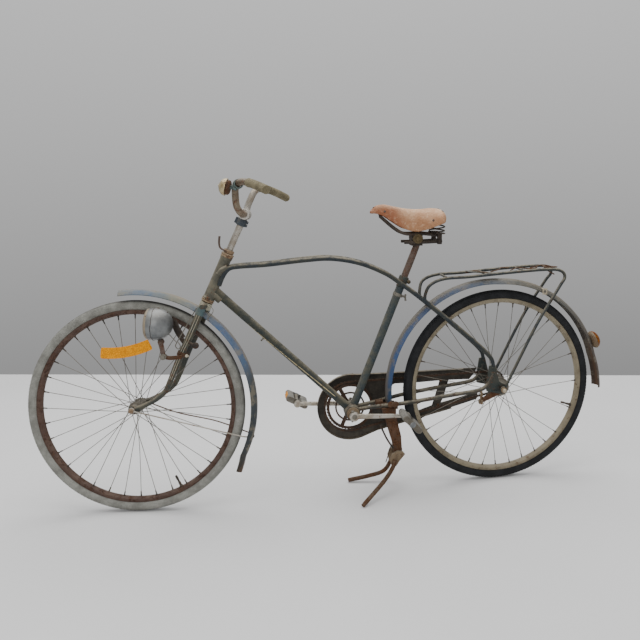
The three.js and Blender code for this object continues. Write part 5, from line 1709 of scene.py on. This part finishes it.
        def local(along: float, y: float, up: float) -> Point:
            """A point of the pedal, before it is turned."""
            return vec(end[0] + along * c - up * s, side * y, end[2] + along * s + up * c)

        cage = Form()
        cage.lathe([(4.5, 0), (8, 0.5), (8.5, 5), (9.5, 8), (7, 11), (6.4, 40), (7, 74), (9.4, 80),
                    (9.8, 84)], vec(end[0], side * inner, end[2]), vec(0, side, 0), 24)
        for y in (first + 1.5, last - 1.5):
            outline = []
            for corner, base in (((31, 0), -90), ((-31, 0), 90)):
                for k in range(9):
                    a = (base + k * 22.5) * DEG
                    p = local(corner[0] + 10 * math.cos(a), y, 10 * math.sin(a))
                    outline.append((p[0], p[2]))
            low, high = sorted((side * (y - 1.5), side * (y + 1.5)))
            hole = circle(end[0], end[2], 6.5, count=20)
            cage.plate(outline, [hole], low, high)
        for along in (-27, 27):
            tip = local(along, last - 0.2, 0)
            cage.nut(tip, tip + vec(0, side * 3, 0), 8)
        self.piece(f"pedal_{name}_frame", cage, Finish.STEEL, body,
                   replaces=[f"pedal_{name}_cage"], bevel=0.4)
        cap = Form().lathe([(11.2, -2), (12, 0), (12, 2.4), (9.8, 4.6), (4.6, 5.6), (0.5, 5.8)],
                           vec(end[0], side * (last - 4.4), end[2]), vec(0, side, 0), 32)
        self.piece(f"pedal_{name}_dust_cap", cap, Finish.LAMP, body)
        for sign, label in ((1, "front"), (-1, "rear")):
            rows = []
            low, high = first + 3.4, last - 3.4
            for i in range(41):
                t = i / 40
                y = low + (high - low) * t
                ease = min(1.0, min(t, 1 - t) * 14) ** 0.5
                ridge = 1.6 if i % 5 == 2 else 0.0
                row = []
                for k in range(24):
                    a = k / 24 * 2 * math.pi
                    ca, sa = math.cos(a), math.sin(a)
                    w = (abs(ca) ** 4 + abs(sa) ** 4) ** -0.25
                    dent = ridge if abs(sa) > 0.55 else 0.0
                    row.append(local(sign * 27 + (13 * w * ca) * (0.86 + 0.14 * ease), y,
                                     (12 * w - dent) * sa * (0.86 + 0.14 * ease)))
                rows.append(row)
            form = Form().rings(np.array(rows))
            self.piece(f"pedal_{name}_block_{label}", form, Finish.BLOCK, body,
                       replaces=[f"pedal_{name}_pad_{label}"], crisp=50)
        if side < 0:
            lens = Form().block(local(40.2, (first + last) / 2, 0), (3.0, 44, 15), turn)
            self.piece(f"pedal_{name}_reflector", lens, Finish.REFLECTOR, body, bevel=0.8)

    def build(self) -> None:
        """Makes the drive's pieces."""
        self.chain()
        self.rings()
        self.cranks()
        self.dress("chain_guard", Finish.GUARD, 0.35)
        bolts = Form()
        for x, z in ((196, 360), (205, 268), (520, 398)):
            bolts.dome(vec(x, -68.4, z), vec(0, -1, 0), 5.5, 2.8)
            bolts.nut(vec(x, -66.4, z), vec(x, -62.5, z), 9)
        self.piece("chain_guard_bolts", bolts, Finish.RUST)
        for side, name in ((1, "left"), (-1, "right")):
            self.pedal(side, name)


@dataclass
class Stand(Assembly):
    """The hanging bracket, the casting on its pin, and two bent legs."""

    pivot_x: float = 370.0
    pivot_z: float = 120.0
    tube: float = 7.5
    body = "frame"

    def build(self) -> None:
        """Makes the stand's pieces."""
        x, z = self.pivot_x, self.pivot_z
        self.dress("stand_bracket", Finish.RUST, 0.7)
        self.dress("stand_knuckle", Finish.CASTING, 0.9)
        left = [vec(x + 16, 30, z - 12), vec(x + 26, 44, z - 34), vec(x + 66, 84, 55),
                vec(x + 148, 150, 6.9)]
        right = [vec(x + 16, -30, z - 14), vec(x + 20, -44, z - 50), vec(x + 44, -50, 36),
                 vec(x + 100, -55, 20), vec(x + 170, -62, 7.6)]
        for points, name in ((left, "left"), (right, "right")):
            leg = Form().bend(points, 5, lambda t: self.tube - 0.6 * max(0, (t - 0.92) / 0.08), 20)
            self.piece(f"stand_leg_{name}_bent", leg, Finish.RUST, "stand",
                       replaces=[f"stand_leg_{name}"])
        heads = Form()
        for side in (-1, 1):
            heads.nut(vec(x, side * 30, z), vec(x, side * 35, z), 15)
            heads.dome(vec(x + 18, side * 30, z - 20), vec(0, side, 0), 4.5, 2.4)
        self.piece("stand_pin_heads", heads, Finish.CASTING, "stand")
        rods = Form()
        rods.bend([(x + 62, 10, z + 108), (x + 40, 12, z + 60), (x + 18, 14, z + 26)], 6, 3.4, 10)
        rods.dome(vec(x + 62, 10, z + 108), vec(0.3, 1, 0), 4.2, 2)
        rods.bend([(x + 24, 8, z + 40), (x + 34, 8, z + 4), (x + 44, 10, z - 26)], 6, 1.7, 8)
        self.piece("stand_spring_rods", rods, Finish.IRON)


@dataclass
class Fork(Assembly):
    """Steerer, crown, raked blades, axle and the wires on them."""

    crown_top: float = 373.0
    tip_spread: float = 56.0
    body = "steering"

    def blade_path(self) -> list[Point]:
        """The left blade, from the crown to the axle."""
        on, a = LAYOUT.on_head, LAYOUT.front_axle
        return [on(self.crown_top - 16, 44), on(260, 47) + vec(-2, 0, 1.5),
                on(187, 51) + vec(0, 0, 1), on(90, 55) + vec(-2, 0, -2),
                a + vec(-102, 56, 55), a + vec(-77, 56, 34), a + vec(-39, 56, 14),
                a + vec(-8, 56, 3)]

    def build(self) -> None:
        """Makes the fork's pieces."""
        on, d, axle = LAYOUT.on_head, LAYOUT.head_direction, LAYOUT.front_axle
        crown = Form()
        crown.pin(on(self.crown_top - 24), on(LAYOUT.head_top + 18), 12.7, 32)
        crown.sweep([on(self.crown_top - 11, y) for y in np.linspace(-56, 56, 12)],
                    lambda t: 10.5 - 3 * abs(2 * t - 1) ** 6, 24)
        self.piece("fork_crown", crown, Finish.FORK, replaces=["fork"], crisp=40)
        collar = Form().lathe([(12, -24), (19, -23), (20, -20), (20, -4), (19, -0.6), (13, 0)],
                              on(self.crown_top), d, 48)
        self.piece("fork_crown_collar", collar, Finish.CREAM, crisp=40)
        band = Form()
        for side in (-1, 1):
            path = spline(mirrored(self.blade_path(), side), 6)

            def taper(t: float) -> float:
                """A blade's radius along it."""
                return 13 - 5.5 * min(1.0, t * 1.15)

            name = "left" if side > 0 else "right"
            blade = Form().sweep(path, taper, 24, squash=0.86)
            outline = [*circle(axle[0], axle[2], 13, -120, 120, 24),
                       (axle[0] - 22, axle[2] + 14), (axle[0] - 26, axle[2] - 2)]
            low = side * (self.tip_spread + 0.5) - 2.5
            blade.plate(outline, [circle(axle[0], axle[2], 4.9, count=20)], low, low + 5)
            self.piece(f"fork_blade_{name}", blade, Finish.FORK, bevel=0.5)
            lines = Form()
            for shift in (-0.32, 0.32):
                outer = []
                for i in range(2, int(len(path) * 0.62)):
                    t = i / (len(path) - 1)
                    tangent = unit(path[i + 1] - path[i - 1])
                    across = unit(np.cross(ACROSS, tangent))
                    r = taper(t)
                    outer.append(path[i] + across * r * math.sin(shift)
                                 + vec(0, side * r * 0.87 * math.cos(shift), 0))
                lines.sweep(outer, 0.7, 6, squash=0.4)
            self.piece(f"fork_pinstripes_{name}", lines, Finish.NUT)
            band.sweep(path[:5], 13.4, 24, squash=0.87)
        self.piece("fork_blade_bands", band, Finish.BAND)
        self.axle()
        self.stay()
        self.wires()

    def axle(self) -> None:
        """The front axle with nuts, washers and round ends."""
        a = LAYOUT.front_axle
        form = Form().pin(a + vec(0, -72.8, 0), a + vec(0, 72.8, 0), 4.5, 20)
        for side in (-1, 1):
            form.nut(a + vec(0, side * 67.3, 0), a + vec(0, side * 72, 0), 15, 0.5)
            form.lathe([(9.0, 0), (9.8, 0.3), (9.8, 1.3), (9.0, 1.6)], a + vec(0, side * 61.6, 0),
                       vec(0, side, 0), 28)
            form.lathe([(11, 0), (12.4, 1), (12.4, 4), (10, 6)], a + vec(0, side * 46.5, 0),
                       vec(0, side, 0), 28)
        self.piece("front_axle_nuts", form, Finish.HEADSET, replaces=["front_axle"])

    def stay(self) -> None:
        """The wire stay from the axle, under the guard and back, with its eyes and clip."""
        a, angle = LAYOUT.front_axle, 196.5 * DEG

        def at(r: float, y: float, off: float = 0.0) -> Point:
            """A point of the stay, out from the axle."""
            return vec(a[0] + r * math.cos(angle) - off * math.sin(angle), y,
                       a[2] + r * math.sin(angle) + off * math.cos(angle))

        inner = LAYOUT.guard_radius + 0.4 - 1.6
        for side, name, finish in ((1, "left", Finish.WHITE_CHROME), (-1, "right", Finish.RUST)):
            kink = 0.0 if side > 0 else 5.0
            half = [at(9, 66.5), at(120, 54.5, kink), at(250, 42, -kink), at(350, 32), at(366, 28),
                    at(inner - 18, 24), at(inner - 12, 17), at(inner - 5, 8), at(inner - 3.4, 0)]
            form = Form().bend(mirrored(half, side), 6, 2.1, 12)
            form.lathe([(4.9, 0), (9, 0), (10, 0.6), (10, 2.4), (9, 3), (4.9, 3)],
                       a + vec(0, side * 64, 0), vec(0, side, 0), 28)
            self.piece(f"front_stay_{name}", form, finish,
                       replaces=["front_mudguard_stay"] if side > 0 else [])
        bolt = Form()
        outer = at(inner + 1.6, 0)
        out = unit(outer - a)
        bolt.dome(outer - out * 0.4, out, 5.2, 3.0)
        bolt.nut(outer - out * 6.5, outer - out * 2.2, 8)
        self.piece("front_stay_bolt", bolt, Finish.IRON)

    def wires(self) -> None:
        """The bent wires and brackets left on the fork, and the hook on the headset."""
        wire = Form()
        front = [(1022, 75, 679), (1058, 75, 618), (1088, 75, 567), (1091, 75, 556),
                 (1082, 75, 548), (1076, 75, 558), (1083, 75, 570)]
        wire.bend(front, 4, 1.6, 8)
        wire.bend([(1110, 75, 596), (1098, 76, 582), (1086, 75, 568)], 4, 1.4, 8)
        back = [(993, 26, 682), (978, 40, 668), (984, 44, 652), (998, 36, 640)]
        wire.bend(back, 4, 1.1, 8)
        self.piece("fork_bent_wires", wire, Finish.SPOKE)
        iron = Form()
        iron.bend([(1112, 30, 646), (1100, 32, 604), (1080, 36, 572),
                   (1068, 40, 558)], 5, 7.5, 12, squash=0.4)
        iron.bend([(1095, 60, 638), (1084, 62, 612), (1068, 60, 583)], 5, 6.0, 12, squash=0.4)
        iron.bend([(1052, 58, 566), (1040, 66, 561), (1030, 70, 557)], 4, 4.5, 10)
        iron.lathe(both_ways((7, 5), (10, 3.5), (10.5, 0)), vec(1030, 70, 557.5),
                   vec(0.1, 1, 0), 28)
        self.piece("fork_old_brackets", iron, Finish.IRON, bevel=0.4)
        hook = [(930, 10, 852), (943, 18, 859), (955, 20, 868), (958, 20, 884), (956, 20, 905)]
        self.piece("headset_hook", Form().bend(hook, 4, lambda t: 2.6 + 1.0 * t, 12), Finish.POST)
        nut = Form().lathe([(13.4, 0), (17, 0), (17.4, 2), (17.4, 9), (16.4, 11.4), (13.4, 11.4)],
                           LAYOUT.on_head(LAYOUT.head_top + 14.5), LAYOUT.head_direction, 8)
        self.piece("headset_locknut_ring", nut, Finish.HEADSET,
                   replaces=["headset_locknut"], bevel=0.5)


@dataclass
class Bars(Assembly):
    """Stem, handlebar, grips and bell."""

    bar_radius: float = 11.0
    grip_radius: float = 14.0
    half: float = 257.0
    grip_share: float = 0.165
    quill_foot: float = 18.3
    quill_rise: float = 134.0
    body = "steering"

    def centre(self) -> Point:
        """The middle of the handlebar."""
        return LAYOUT.on_head(LAYOUT.head_top + self.quill_foot + self.quill_rise)

    def path(self) -> Point:
        """The bar's middle line from right to left, as even points."""
        b = self.centre()
        side = [b + vec(0, 12, 0), b + vec(0, 24, 0), b + vec(2, 38, 1), b + vec(8, 52, 8),
                b + vec(16, 60, 28), b + vec(18, 64, 62), b + vec(14, 78, 84),
                b + vec(-2, 104, 96), b + vec(-22, 140, 96), b + vec(-60, 190, 85),
                b + vec(-108, self.half, 64)]
        knocked = [b + vec(0, 12, 0), b + vec(0, 24, 0), b + vec(0, 38, 0), b + vec(3, 53, 6),
                   b + vec(2, 62, 26), b + vec(-12, 66, 60), b + vec(-22, 78, 80),
                   b + vec(-34, 106, 89), b + vec(-50, 145, 90), b + vec(-74, 195, 82),
                   b + vec(-108, self.half, 64)]
        return spline([*mirrored(knocked, -1)[::-1], b, *side], 4)

    def build(self) -> None:
        """Makes the bars' pieces."""
        line, b, d = self.path(), self.centre(), LAYOUT.head_direction
        n = len(line)
        middle = n // 2
        left = Form().sweep(line[middle:int(n * 0.986)], self.bar_radius, 24)
        right = Form().sweep(line[int(n * 0.014):middle + 1], self.bar_radius, 24)
        self.piece("handlebar_left", left, Finish.BROWN_CHROME, replaces=["handlebar"])
        self.piece("handlebar_right", right, Finish.WHITE_CHROME)

        def ribs(t: float) -> float:
            """A grip's radius with a collar and shallow ribs."""
            if t < 0.05:
                return self.grip_radius
            groove = 0.5 if int(t * 40) % 2 else 0.0
            return self.grip_radius - 0.4 - groove - (1.5 if t > 0.985 else 0)

        parts = {"left": line[int(n * (1 - self.grip_share)):],
                 "right": line[:int(n * self.grip_share) + 1][::-1]}
        for name, part in parts.items():
            fine = spline(part, 1.2)
            self.piece(f"grip_{name}_ribbed", Form().sweep(fine, ribs, 28), Finish.GRIP,
                       replaces=[f"grip_{name}"], crisp=60)
        stem = Form().lathe([(10.5, 0), (11, 1), (11, 100), (10.6, 126), (10, 133)],
                            LAYOUT.on_head(LAYOUT.head_top + self.quill_foot), d, 36)
        stem.lathe(both_ways((11.4, 21), (16.6, 21), (18, 19)), b, ACROSS, 40)
        self.piece("stem_quill", stem, Finish.WHITE_CHROME, replaces=["stem"], crisp=30)
        lug = Form()
        lug.lathe([(11.2, -40), (15, -39), (16, -36), (16, -19), (14.6, -16), (11.2, -15)], b, d,
                  36)
        back = unit(vec(-d[2], 0, d[0]))
        for along in (-22, -33):
            spot = b + d * along
            lug.nut(spot + back * 14, spot + back * 21, 9)
            lug.pin(spot - back * 18, spot + back * 18, 3.2)
        lug.block(b + d * -27 - back * 17, (9, 16, 20), 25)
        self.piece("stem_clamp_lug", lug, Finish.NAVY, bevel=0.8)
        self.bell()

    def bell(self) -> None:
        """The bell's dome, rusty base, clamp and lever."""
        b = self.centre()
        spot, out = b + vec(36, 96, 82), unit(vec(26, 0, 6))
        dome = [(27.2, 3.2), (27.4, 5)]
        dome += [(27.2 * math.sqrt(1 - 0.86 * t * t), 5 + 20 * t) for t in np.linspace(0.05, 1, 12)]
        form = Form().lathe([*dome, (7, 26.6), (2.6, 27.6), (2.4, 29), (0.5, 29.6)], spot, out, 56)
        self.piece("bell_dome", form, Finish.BRASS, replaces=["bell"], crisp=40)
        base = Form().lathe([(8, -9), (19, -8.6), (22.5, -6), (23.5, -2), (22, 2), (23, 2.6),
                             (20, 4)], spot, out, 44)
        base.bend([spot + vec(0, 18, 8), spot + vec(-4, 34, 12), spot + vec(-10, 42, 10)], 3,
                  lambda t: 3.4 + 2.4 * t, 12, squash=0.5)
        self.piece("bell_base", base, Finish.RUST)
        clamp = Form()
        hold = b + vec(3, 96, 92)
        clamp.lathe(both_ways((11.3, 8), (15, 8), (15.6, 6)), hold,
                    vec(-0.45, 1, 0.1), 32, loop=True)
        clamp.pin(hold + vec(10, 0, -4), spot + out * -6, 6)
        clamp.block(hold + vec(10, 0, -12), (12, 14, 14), 20)
        clamp.nut(hold + vec(8, 6, -16), hold + vec(8, 12, -16), 8)
        self.piece("bell_clamp", clamp, Finish.BAND, bevel=0.6)


@dataclass
class Headlamp(Assembly):
    """The dented egg-shaped lamp on its rusty arm."""

    radius: float = 51.0
    half: float = 42.0
    bulge: float = 0.42
    dents: tuple[tuple[float, float, float, float, float], ...] = (
        (2.4, 0.55, 0.01, 1.1, 0.1), (2.0, 0.3, 0.006, 5.3, 0.12), (1.6, 0.75, 0.01, 3.0, 0.2))
    body = "steering"

    def build(self) -> None:
        """Makes the lamp's shell, seam, lens and arm."""
        lamp = LAYOUT.on_head(309, 96) + vec(103, 0, 0)
        axis = unit(vec(-2 * self.half, 0, -4))
        front = lamp + vec(self.half, 0, 2)
        reach = 2 * self.half

        def radius(t: float) -> float:
            """The shell's radius along it."""
            return self.radius * math.sqrt(max(0.0, 1 - ((t - self.bulge)
                                                         / (0.75 if t < self.bulge else 0.6)) ** 2))

        segments = 64
        u = unit(np.cross(vec(0, 0, 1), axis))
        v = np.cross(axis, u)
        rows = []
        for t in np.linspace(0.1, 0.995, 44):
            row = []
            for k in range(segments):
                a = k / segments * 2 * math.pi
                dent = sum(deep * math.exp(-((t - at) ** 2 / long + (a - turn) ** 2 / wide))
                           for deep, at, long, turn, wide in self.dents)
                r = radius(t) - dent
                row.append(front + axis * reach * t + r * (math.cos(a) * u + math.sin(a) * v))
            rows.append(row)
        shell = Form()
        base = shell.grid(np.array(rows), around=True)
        shell.faces.append(tuple(range(base + 43 * segments, base + 44 * segments)))
        self.piece("headlamp_shell", shell, Finish.LAMP, replaces=["headlamp"], crisp=60)
        rim = Form().lathe([(radius(0.1) - 5, 8), (radius(0.1) - 1.5, 6.2), (radius(0.11) + 0.4, 8),
                            (radius(0.16) + 0.8, 12), (radius(0.18) + 0.3, 15), (radius(0.18) - 3, 15)],
                           front, axis, 64)
        lens = Form().lathe([(radius(0.1) - 4.6, 8), (radius(0.1) * 0.7, 5.4), (radius(0.1) * 0.3, 4.6),
                             (0.5, 4.4)], front, axis, 64)
        self.piece("headlamp_rim", rim, Finish.LENS_RIM, crisp=60)
        self.piece("headlamp_lens", lens, Finish.LENS_RIM)
        seam = Form()
        loop = []
        for k in range(97):
            a = k / 96 * 2 * math.pi
            t = 0.36 + 0.012 * math.sin(a * 3) + 0.008 * math.sin(a * 11)
            loop.append(front + axis * reach * t
                        + (radius(t) + 0.1) * (math.cos(a) * u + math.sin(a) * v))
        seam.sweep(loop, 0.9, 8)
        seam.dome(front + axis * reach * 0.5 + vec(0, 0, radius(0.5) - 0.5), vec(0, 0, 1), 5, 2.5)
        seam.dome(front + axis * reach * 0.8 + v * (radius(0.8) - 1), v, 4, 2)
        self.piece("headlamp_seam", seam, Finish.IRON)
        self.arm(lamp)

    def arm(self, lamp: Point) -> None:
        """The bracket under the lamp and the strap round the blade."""
        upper = Form()
        upper.bend([lamp + vec(-6, 0, -38), lamp + vec(-4, 0, -56), lamp + vec(-8, 0, -76),
                    lamp + vec(-11, 0, -96)], 4, lambda t: 8.6 - 1.5 * t, 14, squash=0.6)
        upper.lathe(both_ways((6, 8), (9, 7), (9.6, 0)), lamp + vec(-6, 0, -56), ACROSS, 24)
        upper.nut(lamp + vec(-6, 8, -56), lamp + vec(-6, 13, -56), 11)
        self.piece("headlamp_fork", upper, Finish.POST, replaces=["headlamp_arm"], bevel=0.5)
        joint = Form()
        joint.lathe(both_ways((6, 9), (9.6, 8), (10, 0)), lamp + vec(-12, 0, -103), ACROSS, 28)
        joint.nut(lamp + vec(-12, 8, -103), lamp + vec(-12, 14, -103), 12)
        self.piece("headlamp_joint", joint, Finish.STEEL, bevel=0.5)
        strap = Form()
        strap.bend([lamp + vec(-11, 0, -103), lamp + vec(-30, -4, -108),
                    lamp + vec(-44, -14, -109), lamp + vec(-60, -30, -110)], 4, 6.6, 14,
                   squash=0.5)
        blade = LAYOUT.on_head(197, 50.5)
        strap.lathe(both_ways((12.4, 7), (13.6, 7), (14, 5)), blade,
                    LAYOUT.head_direction, 32, loop=True)
        self.piece("headlamp_strap", strap, Finish.RUST)
        bolt = Form()
        back = unit(vec(-LAYOUT.head_direction[2], 0, LAYOUT.head_direction[0]))
        bolt.nut(blade + back * 13, blade + back * 20, 10)
        bolt.pin(blade + back * 10, blade + back * 24, 3)
        self.piece("headlamp_strap_bolt", bolt, Finish.NUT)


def front_guard_radius(t: float) -> float:
    """The front guard's radius, which flares at its lower end."""
    return LAYOUT.guard_radius - 5 + 6 * t + 14 * max(0.0, (t - 0.94) / 0.06)


def rear_guard_radius(t: float) -> float:
    """The rear guard's radius, which rises forward and flares at its tail."""
    return LAYOUT.guard_radius + 24 * max(0.0, 1 - (t / 0.5) ** 2) + 14 * max(0.0, (t - 0.9) / 0.1)


def main() -> None:
    """Builds the studio and every sub-assembly in order."""
    Studio().build()
    front_hub = both_ways((5, 44), (9.5, 44), (10.5, 42), (12.5, 40), (13.5, 35), (14, 31), (20, 29.6),
                          (20.5, 27.5), (20, 25.4), (13.5, 23), (11.6, 14), (11.2, 0))
    rear_middle = both_ways((34, 29.6), (34.5, 27.5), (34, 25.4), (25, 23), (23, 10), (22.6, 0))
    rear_hub = [(5, -48), (17, -48), (19, -45), (22, -42), (24, -36), (24.5, -31), *rear_middle,
                (27, 31), (27, 40), (21, 43), (18, 48), (5, 48)]
    front_wheel = Wheel("front_wheel", LAYOUT.front_axle, Finish.GREY_TYRE, Finish.BROWN_RIM,
                        front_hub, flange=20, groove=0.7, valve_angle=-116)
    rear_wheel = Wheel("rear_wheel", LAYOUT.rear_axle, Finish.BLACK_TYRE, Finish.CREAM_RIM,
                       rear_hub, flange=34, groove=1.1, valve_angle=198, missing=(165, 215))
    rear_mudguard = Mudguard("rear_mudguard", "frame", LAYOUT.rear_axle, -5, 184,
                             Finish.REAR_GUARD, rear_guard_radius)
    front_mudguard = Mudguard("front_mudguard", "steering", LAYOUT.front_axle, 83, 214.5,
                              Finish.FRONT_GUARD, front_guard_radius)
    for part in (front_wheel, rear_wheel, Reflector(), FrameTubes(), Saddle(), rear_mudguard,
                 front_mudguard, RearFittings(), Drive(), Stand(), Fork(), Bars(), Headlamp()):
        part.build()
    left = sorted(set(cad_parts) - Assembly.used)
    LOG.info("%d pieces made; solids without a finish: %s", len(Assembly.made), left or "none")


if __name__ == "__main__":
    main()
